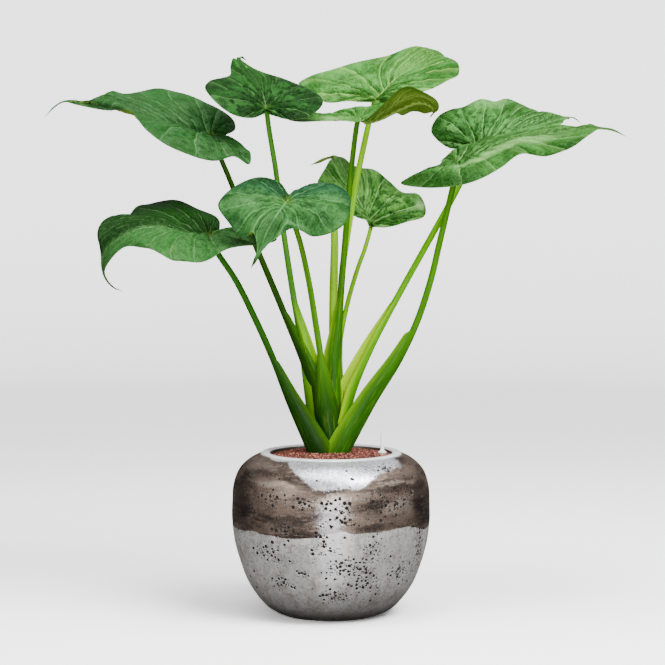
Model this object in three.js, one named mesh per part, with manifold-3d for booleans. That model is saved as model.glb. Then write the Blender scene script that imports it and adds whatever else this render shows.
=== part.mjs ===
// A hooded dwarf elephant ear (Alocasia cucullata) growing in clay granulate in a round cast metal planter,
// with a water gauge at the rim. Millimetres, +Z up, the origin in the middle of the planter's underside.
// Seen from the front, the viewer looks along +Y and +X is to the right.
import * as THREE from "three";
import { mergeVertices } from "three/addons/utils/BufferGeometryUtils.js";
import Module from "manifold-3d";

const wasm = await Module();
wasm.setup();

// Driving dimensions
const GAP = 0.4; // clearance that keeps touching pieces apart
const LEAF_GAP = 0.8; // the same between leaf bases, and between a stalk and its blade
const POT_RADIUS = 170.5;
const POT_HEIGHT = 280;
const POT_FOOT_RADIUS = 85;
const TURNED_SEGMENTS = 36; // facets round the planter and the granulate
const POT_WALL = 9;
const POT_FLOOR = 10;
const MOUTH_RADIUS = 104.5;
const RIM_RADIUS = 119;
const GRANULATE_LEVEL = 272; // at the planter's wall
const HEAP = 7; // how much higher the granulate stands round the stems
const GRAIN_RELIEF = 1.6;
const BLADE_THICKNESS = 1.1;
const VEIN_DEPTH = 2.2; // how far the blade stands up between two veins
const PETIOLE_SIDES = 12;
const SINK_DEPTH = 15; // how deep the leaf bases stand in the granulate

const MATERIALS = {
  cast_metal: new THREE.MeshStandardMaterial({ color: 0x9b948d, roughness: 0.32, metalness: 0.9 }),
  clay: new THREE.MeshStandardMaterial({ color: 0x9c5546, roughness: 0.95, metalness: 0 }),
  corm: new THREE.MeshStandardMaterial({ color: 0xa9a06a, roughness: 0.8, metalness: 0 }),
  stem: new THREE.MeshStandardMaterial({ color: 0x5f9a1c, roughness: 0.45, metalness: 0 }),
  leaf: new THREE.MeshStandardMaterial({ color: 0x3f7d3c, roughness: 0.45, metalness: 0 }),
  clear_plastic: new THREE.MeshStandardMaterial({ color: 0xe6e9ea, roughness: 0.2, metalness: 0 }),
  float_plastic: new THREE.MeshStandardMaterial({ color: 0xc8382c, roughness: 0.5, metalness: 0 }),
};

const plant = new THREE.Group();

function addPart(name, material, geometry) {
  const mesh = new THREE.Mesh(geometry, MATERIALS[material]);
  mesh.name = name;
  plant.add(mesh);
}

const point = ([x, y, z]) => new THREE.Vector3(x, y, z);
const clamp01 = (value) => Math.min(1, Math.max(0, value));
const mix = (a, b, share) => a + (b - a) * share;
const radians = THREE.MathUtils.degToRad;

// A run of values spread evenly over 0 to 1, read smoothly at any place in between.
function readAlong(values, where) {
  const place = clamp01(where) * (values.length - 1);
  const first = Math.min(values.length - 2, Math.floor(place));
  return mix(values[first], values[first + 1], THREE.MathUtils.smoothstep(place - first, 0, 1));
}

// Joins and cuts between solids

// A closed mesh as a solid. Faces that shrink to a line, as at the poles of a turned piece, are left out.
function solidFrom(geometry) {
  const bare = geometry.clone().deleteAttribute("normal").deleteAttribute("uv");
  const merged = mergeVertices(bare, 1e-4);
  const corners = merged.index.array;
  const faces = [];
  for (let i = 0; i < corners.length; i += 3) {
    const face = [corners[i], corners[i + 1], corners[i + 2]];
    if (new Set(face).size === 3) faces.push(...face);
  }
  const vertProperties = merged.attributes.position.array;
  return new wasm.Manifold(new wasm.Mesh({ numProp: 3, vertProperties, triVerts: new Uint32Array(faces) }));
}

function geometryFrom(solid) {
  const mesh = solid.getMesh();
  const positions = new Float32Array(mesh.numVert * 3);
  for (let i = 0; i < mesh.numVert; i++) {
    positions.set(mesh.vertProperties.subarray(i * mesh.numProp, i * mesh.numProp + 3), i * 3);
  }
  const geometry = new THREE.BufferGeometry();
  geometry.setAttribute("position", new THREE.BufferAttribute(positions, 3));
  geometry.setIndex(new THREE.BufferAttribute(mesh.triVerts, 1));
  return geometry;
}

// A cut can leave loose scraps, and only the main body is the piece.
function mainBody(solid) {
  return solid.decompose().reduce((largest, body) => (body.volume() > largest.volume() ? body : largest));
}

function geometryOf(vertices, faces) {
  const geometry = new THREE.BufferGeometry();
  const positions = vertices.flatMap((vertex) => vertex.toArray());
  geometry.setAttribute("position", new THREE.Float32BufferAttribute(positions, 3));
  geometry.setIndex(faces.flat());
  return geometry;
}

// Turned pieces: an outline of [radius, height] points, up the outside first, spun round an upright axis at
// x, y.
function turned(outline, segments, x = 0, y = 0) {
  const profile = outline.map(([radius, height]) => new THREE.Vector2(radius, height));
  return new THREE.LatheGeometry(profile, segments).rotateX(Math.PI / 2).translate(x, y, 0);
}

// The planter: a globe with a flat foot, an upright side, a round shoulder and a flat ring round its mouth.

// The outer side from the foot to the ring, as shares of the planter's radius and height.
const SIDE_SHAPE = [
  [0.5, 0], [0.65, 0.05], [0.82, 0.18], [0.916, 0.318], [0.976, 0.452], [1, 0.587],
  [0.998, 0.69], [0.988, 0.795], [0.935, 0.888], [0.832, 0.952], [0.71, 0.99],
];
const WALL_STEPS = 13;

// The side set back into the wall by the given distance, with evenly spread points.
function planterSide(inset, steps) {
  const points = SIDE_SHAPE.map(([r, z]) => [r * POT_RADIUS, z * POT_HEIGHT]);
  const shape = new THREE.SplineCurve(points.map((p) => new THREE.Vector2(...p)));
  return Array.from({ length: steps + 1 }, (_, i) => {
    const place = shape.getPoint(i / steps);
    const along = shape.getTangent(i / steps);
    return [place.x - along.y * inset, place.y + along.x * inset];
  });
}

const INNER_LIP_DEPTH = 14;

function planter() {
  const outside = planterSide(0, WALL_STEPS);
  const ring = [
    [RIM_RADIUS - 0.5, POT_HEIGHT - 0.6],
    [RIM_RADIUS - 4, POT_HEIGHT],
    [MOUTH_RADIUS + 2, POT_HEIGHT - 1.6],
    [MOUTH_RADIUS, POT_HEIGHT - 3.5],
  ];
  const inside = planterSide(POT_WALL, 7).slice(1, -1).reverse();
  return turned([[0, 0], ...outside, ...ring, [MOUTH_RADIUS, POT_HEIGHT - INNER_LIP_DEPTH], ...inside,
    [POT_FOOT_RADIUS - POT_WALL, POT_FLOOR], [0, POT_FLOOR]], TURNED_SEGMENTS);
}

// The granulate fills the planter to just under its mouth. Its top is a field of small clay grains.

const GRANULATE_RINGS = 6;

// A repeatable scatter between -1 and 1 for each grain.
function scatter(ring, segment) {
  const wave = Math.sin(ring * 12.9898 + segment * 78.233) * 43758.5453;
  return 2 * (wave - Math.floor(wave)) - 1;
}

function granulate() {
  const wall = [
    [POT_FOOT_RADIUS - POT_WALL - GAP, POT_FLOOR + GAP],
    ...planterSide(POT_WALL + GAP, 7).slice(1, -1),
    [MOUTH_RADIUS - GAP, POT_HEIGHT - INNER_LIP_DEPTH - GAP],
  ];
  const edge = MOUTH_RADIUS - GAP;
  const vertices = [];
  const ringAt = (radius, heightOf) => {
    for (let s = 0; s < TURNED_SEGMENTS; s++) {
      const angle = (s / TURNED_SEGMENTS) * 2 * Math.PI;
      vertices.push(new THREE.Vector3(radius * Math.cos(angle), radius * Math.sin(angle), heightOf(s)));
    }
  };
  wall.forEach(([radius, height]) => ringAt(radius, () => height));
  for (let ring = 0; ring < GRANULATE_RINGS; ring++) {
    const radius = edge * (1 - ring / GRANULATE_RINGS);
    const crown = HEAP * (1 - (radius / edge) ** 2);
    ringAt(radius, (s) => GRANULATE_LEVEL + crown + GRAIN_RELIEF * scatter(ring, s));
  }
  const rings = wall.length + GRANULATE_RINGS;
  const faces = [];
  const at = (ring, s) => ring * TURNED_SEGMENTS + (s % TURNED_SEGMENTS);
  for (let ring = 0; ring < rings - 1; ring++) {
    for (let s = 0; s < TURNED_SEGMENTS; s++) {
      faces.push([at(ring, s), at(ring, s + 1), at(ring + 1, s + 1)]);
      faces.push([at(ring, s), at(ring + 1, s + 1), at(ring + 1, s)]);
    }
  }
  const bottom = vertices.push(new THREE.Vector3(0, 0, POT_FLOOR + GAP)) - 1;
  const top = vertices.push(new THREE.Vector3(0, 0, GRANULATE_LEVEL + HEAP)) - 1;
  for (let s = 0; s < TURNED_SEGMENTS; s++) {
    faces.push([bottom, at(0, s + 1), at(0, s)]);
    faces.push([top, at(rings - 1, s), at(rings - 1, s + 1)]);
  }
  return geometryOf(vertices, faces);
}

// A tube with a section that changes along its path, given at each share of the path's length.
// sectionAt(share, height) gives the section's points as [outward, sideways].

const evenly = (steps) => Array.from({ length: steps + 1 }, (_, i) => i / steps);

function sweep(path, shares, outward, sectionAt) {
  const vertices = [];
  const sections = [];
  const steps = shares.length - 1;
  for (const share of shares) {
    const centre = path.getPointAt(share);
    const along = path.getTangentAt(share);
    const out = outward.clone().addScaledVector(along, -outward.dot(along)).normalize();
    const side = new THREE.Vector3().crossVectors(along, out);
    const section = sectionAt(share, centre.z);
    sections.push(section);
    for (const [o, s] of section) {
      vertices.push(centre.clone().addScaledVector(out, o).addScaledVector(side, s));
    }
  }
  const count = sections[0].length;
  const faces = [];
  for (let i = 0; i < steps; i++) {
    for (let k = 0; k < count; k++) {
      const a = i * count + k;
      const b = i * count + ((k + 1) % count);
      faces.push([a, b, b + count], [a, b + count, a + count]);
    }
  }
  const cap = (i, turn) => {
    const flat = sections[i].map(([o, s]) => new THREE.Vector2(o, s));
    for (const [a, b, c] of THREE.ShapeUtils.triangulateShape(flat, [])) {
      const face = [a, b, c].map((k) => k + i * count);
      faces.push(turn ? face.reverse() : face);
    }
  };
  cap(0, true);
  cap(steps, false);
  return geometryOf(vertices, faces);
}

function curveThrough(points) {
  return new THREE.CatmullRomCurve3(points, false, "centripetal");
}

// The rootstock: a short upright corm that carries the leaf bases, with stout roots in the granulate.

const CORM_OUTLINE = [[0, 188], [12, 190], [21, 206], [24, 232], [21, 254], [13, 268], [6, 274], [0, 275]];
const ROOT_COUNT = 5;
const ROOT_SIDES = 5;
const ROOT_RADIUS = 3.2;

function root(index, grow) {
  const angle = (index / ROOT_COUNT) * 2 * Math.PI + 0.35;
  const reach = 92 + 22 * Math.sin(index * 2.4);
  const depth = 60 + 45 * Math.abs(Math.sin(index * 1.7));
  const out = new THREE.Vector3(Math.cos(angle), Math.sin(angle), 0);
  const sway = new THREE.Vector3(-out.y, out.x, 0).multiplyScalar(14 * Math.sin(index * 3.1));
  const at = (distance, height, swayed) =>
    out.clone().multiplyScalar(distance).addScaledVector(sway, swayed).setZ(height);
  const path = curveThrough([
    at(9, 214, 0), at(30, 196, 0.2),
    at(reach * 0.6, mix(190, depth, 0.4), 1), at(reach + grow, depth - grow, 0.3),
  ]);
  return sweep(path, evenly(5), new THREE.Vector3(-out.y, out.x, 0), (share) => {
    const radius = mix(ROOT_RADIUS, 1.2, share) + grow;
    return Array.from({ length: ROOT_SIDES }, (_, k) => {
      const turn = (k / ROOT_SIDES) * 2 * Math.PI;
      return [radius * Math.cos(turn), radius * Math.sin(turn)];
    });
  });
}

function rootstock(grow) {
  const outline = CORM_OUTLINE.map(([radius, height], i) => [
    radius === 0 ? 0 : radius + grow,
    height + (i === 0 ? -grow : i === CORM_OUTLINE.length - 1 ? grow : 0),
  ]);
  let stock = solidFrom(turned(outline, 20));
  for (let i = 0; i < ROOT_COUNT; i++) stock = stock.add(solidFrom(root(i, grow)));
  return stock;
}

// The water gauge: a housing that stands on the planter's floor, a clear neck above the granulate,
// and a float whose thin rod rises in the neck as the planter fills.

const GAUGE_X = 88;
const GAUGE_Y = -10;
const HOUSING_RADIUS = 7.5;
const HOUSING_BORE = 6;
const NECK_RADIUS = 2.7;
const NECK_BORE = 1.9;
const NECK_TOP = 314;
const SKIRT_TOP = 283;
const SKIRT_BOTTOM = 280;
const GAUGE_FOOT = 30;
const FLOAT_RADIUS = 5;
const FLOAT_HEIGHT = 42;
const ROD_RADIUS = 1.2;
const ROD_TOP = 281.5;

function gaugeHousing(grow) {
  const r = (radius) => radius + grow;
  const outer = [
    [r(HOUSING_RADIUS), GAUGE_FOOT - grow],
    [r(HOUSING_RADIUS), SKIRT_BOTTOM],
    [r(NECK_RADIUS + 1.2), SKIRT_TOP],
    [r(NECK_RADIUS), SKIRT_TOP + 1],
    [r(NECK_RADIUS), NECK_TOP - 1],
    [r(NECK_RADIUS - 1), NECK_TOP],
    [0, NECK_TOP],
  ];
  if (grow > 0) return turned([[0, GAUGE_FOOT - grow], ...outer], 16, GAUGE_X, GAUGE_Y);
  const bore = [
    [0, NECK_TOP - 1.2],
    [NECK_BORE, NECK_TOP - 1.6],
    [NECK_BORE, SKIRT_BOTTOM - 2],
    [HOUSING_BORE, SKIRT_BOTTOM - 5],
    [HOUSING_BORE, GAUGE_FOOT + 1.6],
    [FLOAT_RADIUS - 2, GAUGE_FOOT + 1.6],
    [FLOAT_RADIUS - 2, GAUGE_FOOT],
  ];
  return turned([...outer.slice(0, -1), [0, NECK_TOP], ...bore, outer[0]], 16, GAUGE_X, GAUGE_Y);
}

function gaugeFloat() {
  const foot = GAUGE_FOOT + 1.6 + GAP;
  const outline = [
    [0, foot],
    [FLOAT_RADIUS - 0.8, foot],
    [FLOAT_RADIUS, foot + 1],
    [FLOAT_RADIUS, foot + FLOAT_HEIGHT - 3],
    [ROD_RADIUS, foot + FLOAT_HEIGHT],
    [ROD_RADIUS, ROD_TOP - 0.6],
    [ROD_RADIUS - 0.6, ROD_TOP],
    [0, ROD_TOP],
  ];
  return turned(outline, 12, GAUGE_X, GAUGE_Y);
}

// The leaves, from the outermost to the innermost. Each petiole rises from the corm as an open sheath, like
// a stick of celery, and closes into a round stalk. Its path runs up the stalk's middle from just above the
// granulate. outward is the way the sheath's back faces, in degrees from +X, radius the stalk's at foot and
// top, sheath the heights where it starts and where it is fully open, step how far open it starts, and
// depth and width its size across when open.

const LEAVES = {
  low_left: {
    joint: [-206, -50, 650],
    petiole: {
      path: [[-43, -12, 301], [-72, -16, 370], [-98, -22, 439], [-128, -30, 508], [-162, -38, 577],
        [-195, -46, 628]],
      outward: 196, radius: [6.6, 4.8], sheath: [437, 290], step: 0.2, depth: 38, width: 20,
    },
    midrib: [[-39, -4, 6], [-77, -10, 16], [-114, -16, 14], [-145, -22, 1], [-169, -26, -19],
             [-179, -28, -44], [-176, -27, -66], [-162, -24, -84], [-144, -20, -91]],
    sinus: [17, 7, 8],
    left: [[53, -16, 13], [116, -45, -3], [85, -66, -17], [32, -80, -24], [1, -86, -33], [-24, -92, -38],
           [-50, -90, -34], [-77, -84, -25], [-107, -66, -16], [-140, -46, -17]],
    right: [[16, 36, 28], [0, 66, 44], [-31, 88, 53], [-68, 101, 58], [-102, 100, 58], [-127, 84, 50],
            [-144, 60, 36], [-166, 38, 39], [-182, 14, 27], [-187, -6, 4], [-182, -20, -21]],
    arch: [0.06, 0.08, 0.04],
  },
  right_front: {
    joint: [214, -20, 774],
    petiole: {
      path: [[37, -11, 301], [74, -14, 370], [116, -18, 439], [148, -21, 508], [170, -22, 576],
        [186, -22, 644], [202, -21, 712], [208, -20, 738]],
      outward: 344, radius: [6.6, 5], sheath: [484, 300], step: 0.42, depth: 37, width: 20,
    },
    midrib: [[40, 4, 13], [82, 8, 28], [127, 10, 42], [173, 10, 51], [213, 9, 60], [244, 7, 60],
             [267, 5, 56], [289, 4, 46]],
    sinus: [-15, 2, -3],
    left: [[-26, 20, 4], [-13, 48, 17], [13, 72, 29], [55, 86, 44], [100, 82, 53], [143, 64, 57],
           [183, 44, 60], [207, 28, 66], [224, 16, 72]],
    right: [[-46, -28, -14], [-97, -66, -35], [-59, -92, -40], [-10, -101, -36], [30, -92, -27],
            [71, -74, -7], [106, -57, 20], [150, -52, 15], [192, -36, 26], [222, -16, 46]],
    arch: [0.08, 0.1, 0.04],
    arch_right: [0.02, 0.16, 0.1],
  },
  front: {
    joint: [-74, -100, 710],
    petiole: {
      path: [[-3, -12, 301], [-11, -15, 370], [-17, -22, 439], [-27, -34, 509], [-38, -50, 578],
        [-53, -72, 646], [-63, -84, 676]],
      outward: 262, radius: [6.4, 4.3], sheath: [448, 350], step: 0.1, depth: 24, width: 23,
    },
    midrib: [[-14, -30, -19], [-29, -58, -45], [-40, -76, -71], [-48, -84, -90], [-57, -86, -107]],
    sinus: [4, 14, 13],
    left: [[22, 44, 25], [64, 60, 30], [104, 32, 6], [97, -8, -35], [44, -42, -56], [10, -56, -42],
           [-21, -72, -63]],
    right: [[-17, 34, 32], [-52, 44, 42], [-92, 22, 23], [-114, -8, -8], [-96, -36, -31], [-70, -60, -56],
            [-55, -70, -48]],
    arch: [0.1, 0.08, 0.02],
  },
  upper_left: {
    joint: [-208, 20, 821],
    petiole: {
      path: [[-20, 10, 316], [-31, 12, 385], [-48, 15, 436], [-76, 22, 505], [-105, 30, 574],
        [-140, 34, 657], [-174, 28, 746], [-199, 21, 804]],
      outward: 165, radius: [7, 4.1], sheath: [515, 340], step: 0.25, depth: 28, width: 18,
    },
    midrib: [[-52, 12, 17], [-104, 22, 33], [-151, 28, 46], [-194, 32, 60], [-225, 30, 59], [-251, 27, 62],
             [-270, 24, 52], [-286, 22, 33]],
    sinus: [22, 2, -1],
    left: [[56, -24, -13], [70, -42, -24], [70, -56, -46], [46, -68, -32], [14, -78, -37], [-27, -82, -28],
           [-70, -75, -17], [-105, -56, 7], [-137, -16, 40], [-168, 10, 48]],
    right: [[43, 40, 18], [34, 66, 35], [10, 90, 51], [-22, 106, 64], [-58, 113, 73], [-93, 112, 81],
            [-124, 104, 79], [-154, 86, 78], [-175, 66, 82], [-191, 44, 66]],
    arch: [0.07, 0.07, 0.03],
  },
  right_back: {
    joint: [256, 130, 802],
    petiole: {
      path: [[21, 10, 316], [38, 15, 384], [67, 24, 453], [103, 42, 521], [142, 63, 590], [182, 88, 659],
        [221, 112, 728], [240, 124, 767]],
      outward: 28, radius: [6, 5.2], sheath: [534, 380], step: 0.15, depth: 28, width: 16,
    },
    midrib: [[39, 10, 16], [82, 20, 31], [127, 28, 44], [161, 34, 53], [174, 37, 55], [189, 40, 45]],
    sinus: [-22, -4, 1],
    left: [[-48, 0, 0], [-78, 6, 28], [-68, 26, 57], [-44, 50, 71], [-20, 66, 73], [12, 88, 84],
           [38, 98, 79], [64, 106, 88], [88, 100, 79], [104, 86, 63], [135, 58, 56]],
    right: [[-45, -38, -14], [-15, -68, -27], [37, -70, -11], [88, -42, 8], [126, -8, 26], [153, 16, 39]],
    arch: [0.06, 0.06, 0.03],
  },
  top_left: {
    joint: [-110, 10, 865],
    petiole: {
      path: [[-32, 22, 316], [-40, 26, 385], [-50, 32, 461], [-64, 38, 539], [-75, 41, 608], [-86, 38, 686],
        [-95, 28, 763], [-106, 14, 832]],
      outward: 140, radius: [6.4, 4.2], sheath: [531, 420], step: 0.1, depth: 28, width: 16,
    },
    midrib: [[-7, 40, 26], [-19, 85, 51], [-36, 130, 73], [-51, 158, 87], [-54, 172, 96], [-49, 180, 100],
             [-40, 184, 92]],
    sinus: [-1, -16, -5],
    left: [[-23, -52, -12], [-62, -58, -3], [-105, -15, 31], [-100, 30, 46], [-79, 66, 56], [-66, 100, 68],
           [-67, 132, 84], [-63, 150, 96], [-58, 156, 88]],
    right: [[31, -52, -13], [68, -58, -10], [97, -22, 11], [72, 35, 37], [39, 70, 55], [-2, 112, 71],
            [-37, 148, 87]],
    arch: [0.07, 0.06, 0.03],
  },
  top_right: {
    joint: [78, 150, 886],
    petiole: {
      path: [[8, 28, 331], [12, 38, 452], [20, 60, 590], [30, 78, 659], [45, 108, 746], [60, 134, 816],
        [68, 144, 851]],
      outward: 65, radius: [6.6, 5], sheath: [500, 380], step: 0.1, depth: 26, width: 14,
    },
    midrib: [[38, 40, 39], [75, 80, 66], [109, 115, 82], [130, 140, 81], [138, 152, 67], [140, 158, 49]],
    sinus: [-10, -13, -3],
    left: [[-41, -28, -4], [-90, -22, -4], [-135, 10, 29], [-117, 45, 44], [-53, 95, 65], [20, 135, 81],
           [79, 150, 107], [116, 150, 100]],
    right: [[19, -28, -7], [50, -32, 3], [85, -25, 18], [122, -5, 26], [148, 30, 44], [151, 70, 67],
            [138, 108, 83]],
    arch: [0.07, 0.06, 0.03],
  },
  middle: {
    joint: [72, 150, 667],
    petiole: {
      path: [[9, 36, 330], [14, 46, 451], [26, 60, 520], [46, 88, 589], [59, 112, 623], [68, 136, 652]],
      outward: 85, radius: [5.2, 3.6], sheath: [470, 380], step: 0.1, depth: 24, width: 14,
    },
    midrib: [[-19, 22, 34], [-36, 50, 71], [-52, 78, 103], [-65, 96, 123], [-88, 96, 114], [-110, 90, 105]],
    sinus: [-3, -12, -4],
    left: [[-26, -38, 10], [-60, -42, 33], [-90, -22, 60], [-93, 10, 80], [-85, 42, 96], [-75, 72, 113]],
    right: [[18, -22, -7], [55, -26, 3], [91, -6, 8], [97, 14, 27], [85, 34, 51], [57, 54, 60],
            [33, 74, 79], [6, 88, 96], [-27, 94, 94], [-49, 97, 110]],
    arch: [0.06, 0.06, 0.03],
  },
  top_low: {
    joint: [46, 20, 848],
    petiole: {
      path: [[9, -2, 317], [10, 3, 403], [14, 9, 497], [19, 14, 575], [25, 18, 652], [33, 21, 746],
        [43, 21, 832]],
      outward: 330, radius: [6.6, 4.4], sheath: [540, 450], step: 0.1, depth: 26, width: 13,
    },
    midrib: [[17, -14, -1], [37, -30, 4], [57, -50, 13], [79, -72, 23], [100, -92, 29],
             [116, -108, 26], [126, -118, 17], [124, -124, 8], [120, -126, 4], [119, -127, 2]],
    sinus: [-13, 16, 2],
    left: [[-43, 38, 16], [-36, 64, 21], [-9, 86, 27], [22, 98, 31], [49, 98, 31], [68, 80, 17],
           [76, 60, 11], [89, 30, 17], [102, -20, 15], [112, -74, 10]],
    right: [[-62, 32, 13], [-99, 24, 9], [-119, 8, 5], [-106, -18, -3], [-68, -44, -3], [-27, -70, -4],
            [6, -90, -4], [33, -108, 14], [57, -124, 34], [81, -142, 49], [102, -156, 47], [120, -158, 34],
            [129, -148, 19]],
    arch: [0.04, 0.04, 0.02],
  },
};

const SHEATH_EDGE = 1.6; // thickness of the sheath's wings at their edges
const SHEATH_BACK = 8;
const SHEATH_STEPS = 7;
const STALK_STEPS = 6;

// The stalk's section: eight points round its back and four across the side that faces the plant's heart.
function stalkSection(radius, openness, depth, halfWidth, grow) {
  const fold = mix(radius * 2, depth, openness) / 1.17;
  const wing = mix(radius, halfWidth, openness);
  const points = Array.from({ length: PETIOLE_SIDES }, (_, k) => {
    const round = radians(-105 + 30 * k);
    const back = k < 8;
    const spread = radians(back ? -100 + (200 / 7) * k : 97 - (194 / 3) * (k - 8));
    const wall = back ? 0 : mix(SHEATH_EDGE, SHEATH_BACK, Math.cos(spread) ** 2);
    const sheath = [radius - fold + (fold - wall) * Math.cos(spread), (wing - wall * 0.8) * Math.sin(spread)];
    const stalk = [radius * Math.cos(round), radius * Math.sin(round)];
    return [mix(stalk[0], sheath[0], openness), mix(stalk[1], sheath[1], openness)];
  });
  return grow === 0 ? points : widened(points, grow);
}

// Moves each side of a closed outline outwards by the given distance.
function widened(points, grow) {
  const outwardOf = ([ax, ay], [bx, by]) => new THREE.Vector2(by - ay, ax - bx).normalize();
  return points.map((p, k) => {
    const before = outwardOf(points[(k + points.length - 1) % points.length], p);
    const after = outwardOf(p, points[(k + 1) % points.length]);
    const reach = grow / Math.max(0.15, 1 + before.dot(after));
    return [p[0] + (before.x + after.x) * reach, p[1] + (before.y + after.y) * reach];
  });
}

// The share of a path's length at which it reaches a height.
function shareAt(path, height) {
  let [low, high] = [0, 1];
  for (let i = 0; i < 20; i++) {
    const middle = (low + high) / 2;
    if (path.getPointAt(middle).z < height) low = middle;
    else high = middle;
  }
  return low;
}

function petiole({ joint, petiole: stalk }, grow) {
  const turn = radians(stalk.outward);
  const outward = new THREE.Vector3(Math.cos(turn), Math.sin(turn), 0);
  const [first, second] = stalk.path.map(point);
  const down = first.clone().sub(second);
  const foot = first.clone().addScaledVector(down, (GRANULATE_LEVEL - SINK_DEPTH - grow - first.z) / down.z);
  const last = point(stalk.path.at(-1));
  const end = point(joint).add(point(joint).sub(last).setLength(0.5 + grow));
  const path = curveThrough([foot, ...stalk.path.map(point), end]);
  const notch = shareAt(path, stalk.sheath[0]);
  const shares = [
    ...Array.from({ length: SHEATH_STEPS + 1 }, (_, i) => (notch * i) / SHEATH_STEPS),
    ...Array.from({ length: STALK_STEPS + 1 }, (_, i) => mix(notch + 0.006, 1, i / STALK_STEPS)),
  ];
  return sweep(path, shares, outward, (share, height) => {
    const [top, full] = stalk.sheath;
    const below = clamp01((top - height) / (top - full));
    const open = share > notch + 0.001 ? 0 : mix(stalk.step, 1, below ** 0.6);
    return stalkSection(mix(...stalk.radius, share), open, stalk.depth, stalk.width, grow);
  });
}

// The blade: a heart with its stalk joined near the notch between the two back lobes. Points are measured
// from the joint. midrib runs to the drip tip, and left and right follow each edge from the notch round its
// lobe to where the drip tip begins. Veins run from the midrib to those edge points, and the blade stands
// up between them.

const BLADE_STATIONS = 18; // faces along each edge, two to a vein
const BLADE_ROWS = 4; // faces from midrib to edge
const TIP_STEPS = 2; // extra stations along the drip tip
const TIP_HALF_WIDTH = 5.2;
const LOBE_SHARE = 0.3; // the share of each edge whose veins start at the joint

// How far along the midrib the vein starts that ends at this share of the edge.
function veinStart(edgeShare) {
  return clamp01((edgeShare - LOBE_SHARE) / (1 - LOBE_SHARE)) ** 1.15;
}

function edgeStations(leaf, side, rib) {
  const given = [point(leaf.sinus), ...leaf[side].map(point)];
  const total = given.length + TIP_STEPS;
  const widthways = given.at(-1).clone().sub(rib.getPoint(veinStart((given.length - 1) / total)));
  const stations = [...given];
  for (let k = 1; k <= TIP_STEPS; k++) {
    const where = veinStart((given.length - 1 + k) / total);
    const along = rib.getTangent(where);
    const across = widthways.clone().addScaledVector(along, -widthways.dot(along)).normalize();
    stations.push(rib.getPoint(where).addScaledVector(across, TIP_HALF_WIDTH * (1 - 0.22 * k)));
  }
  stations.push(rib.getPoint(1));
  return stations;
}

function blade(leaf, thickness) {
  const joint = point(leaf.joint);
  const rib = curveThrough([new THREE.Vector3(), ...leaf.midrib.map(point)]);
  const surface = [];
  const shared = new Map();
  const faces = [];
  const place = (position) => {
    const key = position.toArray().map((v) => v.toFixed(3)).join();
    if (!shared.has(key)) shared.set(key, surface.push(position) - 1);
    return shared.get(key);
  };
  const edges = {};
  for (const side of ["left", "right"]) {
    const handed = side === "left" ? 1 : -1;
    const stations = edgeStations(leaf, side, rib);
    const arches = leaf[`arch_${side}`] ?? leaf.arch;
    const edge = curveThrough(stations);
    const grid = [];
    for (let i = 0; i <= BLADE_STATIONS; i++) {
      const share = i / BLADE_STATIONS;
      const start = rib.getPoint(veinStart(share));
      const end = edge.getPoint(share);
      const across = end.clone().sub(start);
      const forward = edge.getTangent(share).addScaledVector(rib.getTangent(veinStart(share)), 0.6);
      const up = new THREE.Vector3().crossVectors(forward, across).multiplyScalar(handed).normalize();
      const arch = i === 0 ? 0 : readAlong(arches, share) * across.length();
      const stand = i % 2 === 0 ? 0 : VEIN_DEPTH * clamp01(across.length() / 60);
      const row = [];
      for (let j = 0; j <= BLADE_ROWS; j++) {
        const t = j / BLADE_ROWS;
        const lift = 4 * t * (1 - t) * arch + Math.sin(Math.PI * Math.sqrt(t)) * stand;
        row.push(place(start.clone().addScaledVector(across, t).addScaledVector(up, lift)));
      }
      grid.push(row);
    }
    for (let i = 0; i < BLADE_STATIONS; i++) {
      for (let j = 0; j < BLADE_ROWS; j++) {
        const quad = [grid[i][j], grid[i + 1][j], grid[i + 1][j + 1], grid[i][j + 1]];
        if (side === "right") quad.reverse();
        for (const face of [[quad[0], quad[1], quad[2]], [quad[0], quad[2], quad[3]]]) {
          if (new Set(face).size === 3) faces.push(face);
        }
      }
    }
    edges[side] = grid.map((row) => row.at(-1));
  }
  return thickened(surface.map((p) => p.add(joint)), faces, edges, thickness);
}

// Gives an open surface its thickness: the same triangles on both faces, joined round the edge.
function thickened(surface, faces, edges, thickness) {
  const normals = surface.map(() => new THREE.Vector3());
  for (const [a, b, c] of faces) {
    const normal = surface[b].clone().sub(surface[a]).cross(surface[c].clone().sub(surface[a]));
    for (const k of [a, b, c]) normals[k].add(normal);
  }
  normals.forEach((normal) => normal.normalize());
  const offset = (by) => surface.map((p, k) => p.clone().addScaledVector(normals[k], by));
  const vertices = [...offset(thickness / 2), ...offset(-thickness / 2)];
  const under = surface.length;
  const all = [...faces, ...faces.map(([a, b, c]) => [c + under, b + under, a + under])];
  const round = [...edges.right, ...edges.left.slice(1, -1).reverse()];
  round.forEach((a, k) => {
    const b = round[(k + 1) % round.length];
    all.push([b, a, a + under], [b, a + under, b + under]);
  });
  return geometryOf(vertices, all);
}

// The newest leaf, still rolled into a spear.

const SPEAR_PATH = [[1, 4, 262], [3, 12, 367], [3, 16, 436], [4, 20, 540], [5, 20, 592], [6, 20, 643],
  [4, 20, 686], [0, 20, 743]];
const SPEAR_RADIUS = [6, 6.5, 7, 7.2, 6.5, 0.6];

function spear(grow) {
  return sweep(curveThrough(SPEAR_PATH.map(point)), evenly(9), new THREE.Vector3(0, -1, 0), (share) => {
    const radius = readAlong(SPEAR_RADIUS, share) + grow;
    return Array.from({ length: 8 }, (_, k) => {
      const turn = (k / 8) * 2 * Math.PI;
      return [radius * Math.cos(turn), radius * Math.sin(turn)];
    });
  });
}

// Assembly. The leaf bases are fitted from the outside in: each gives way to the ones laid before it.

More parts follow.
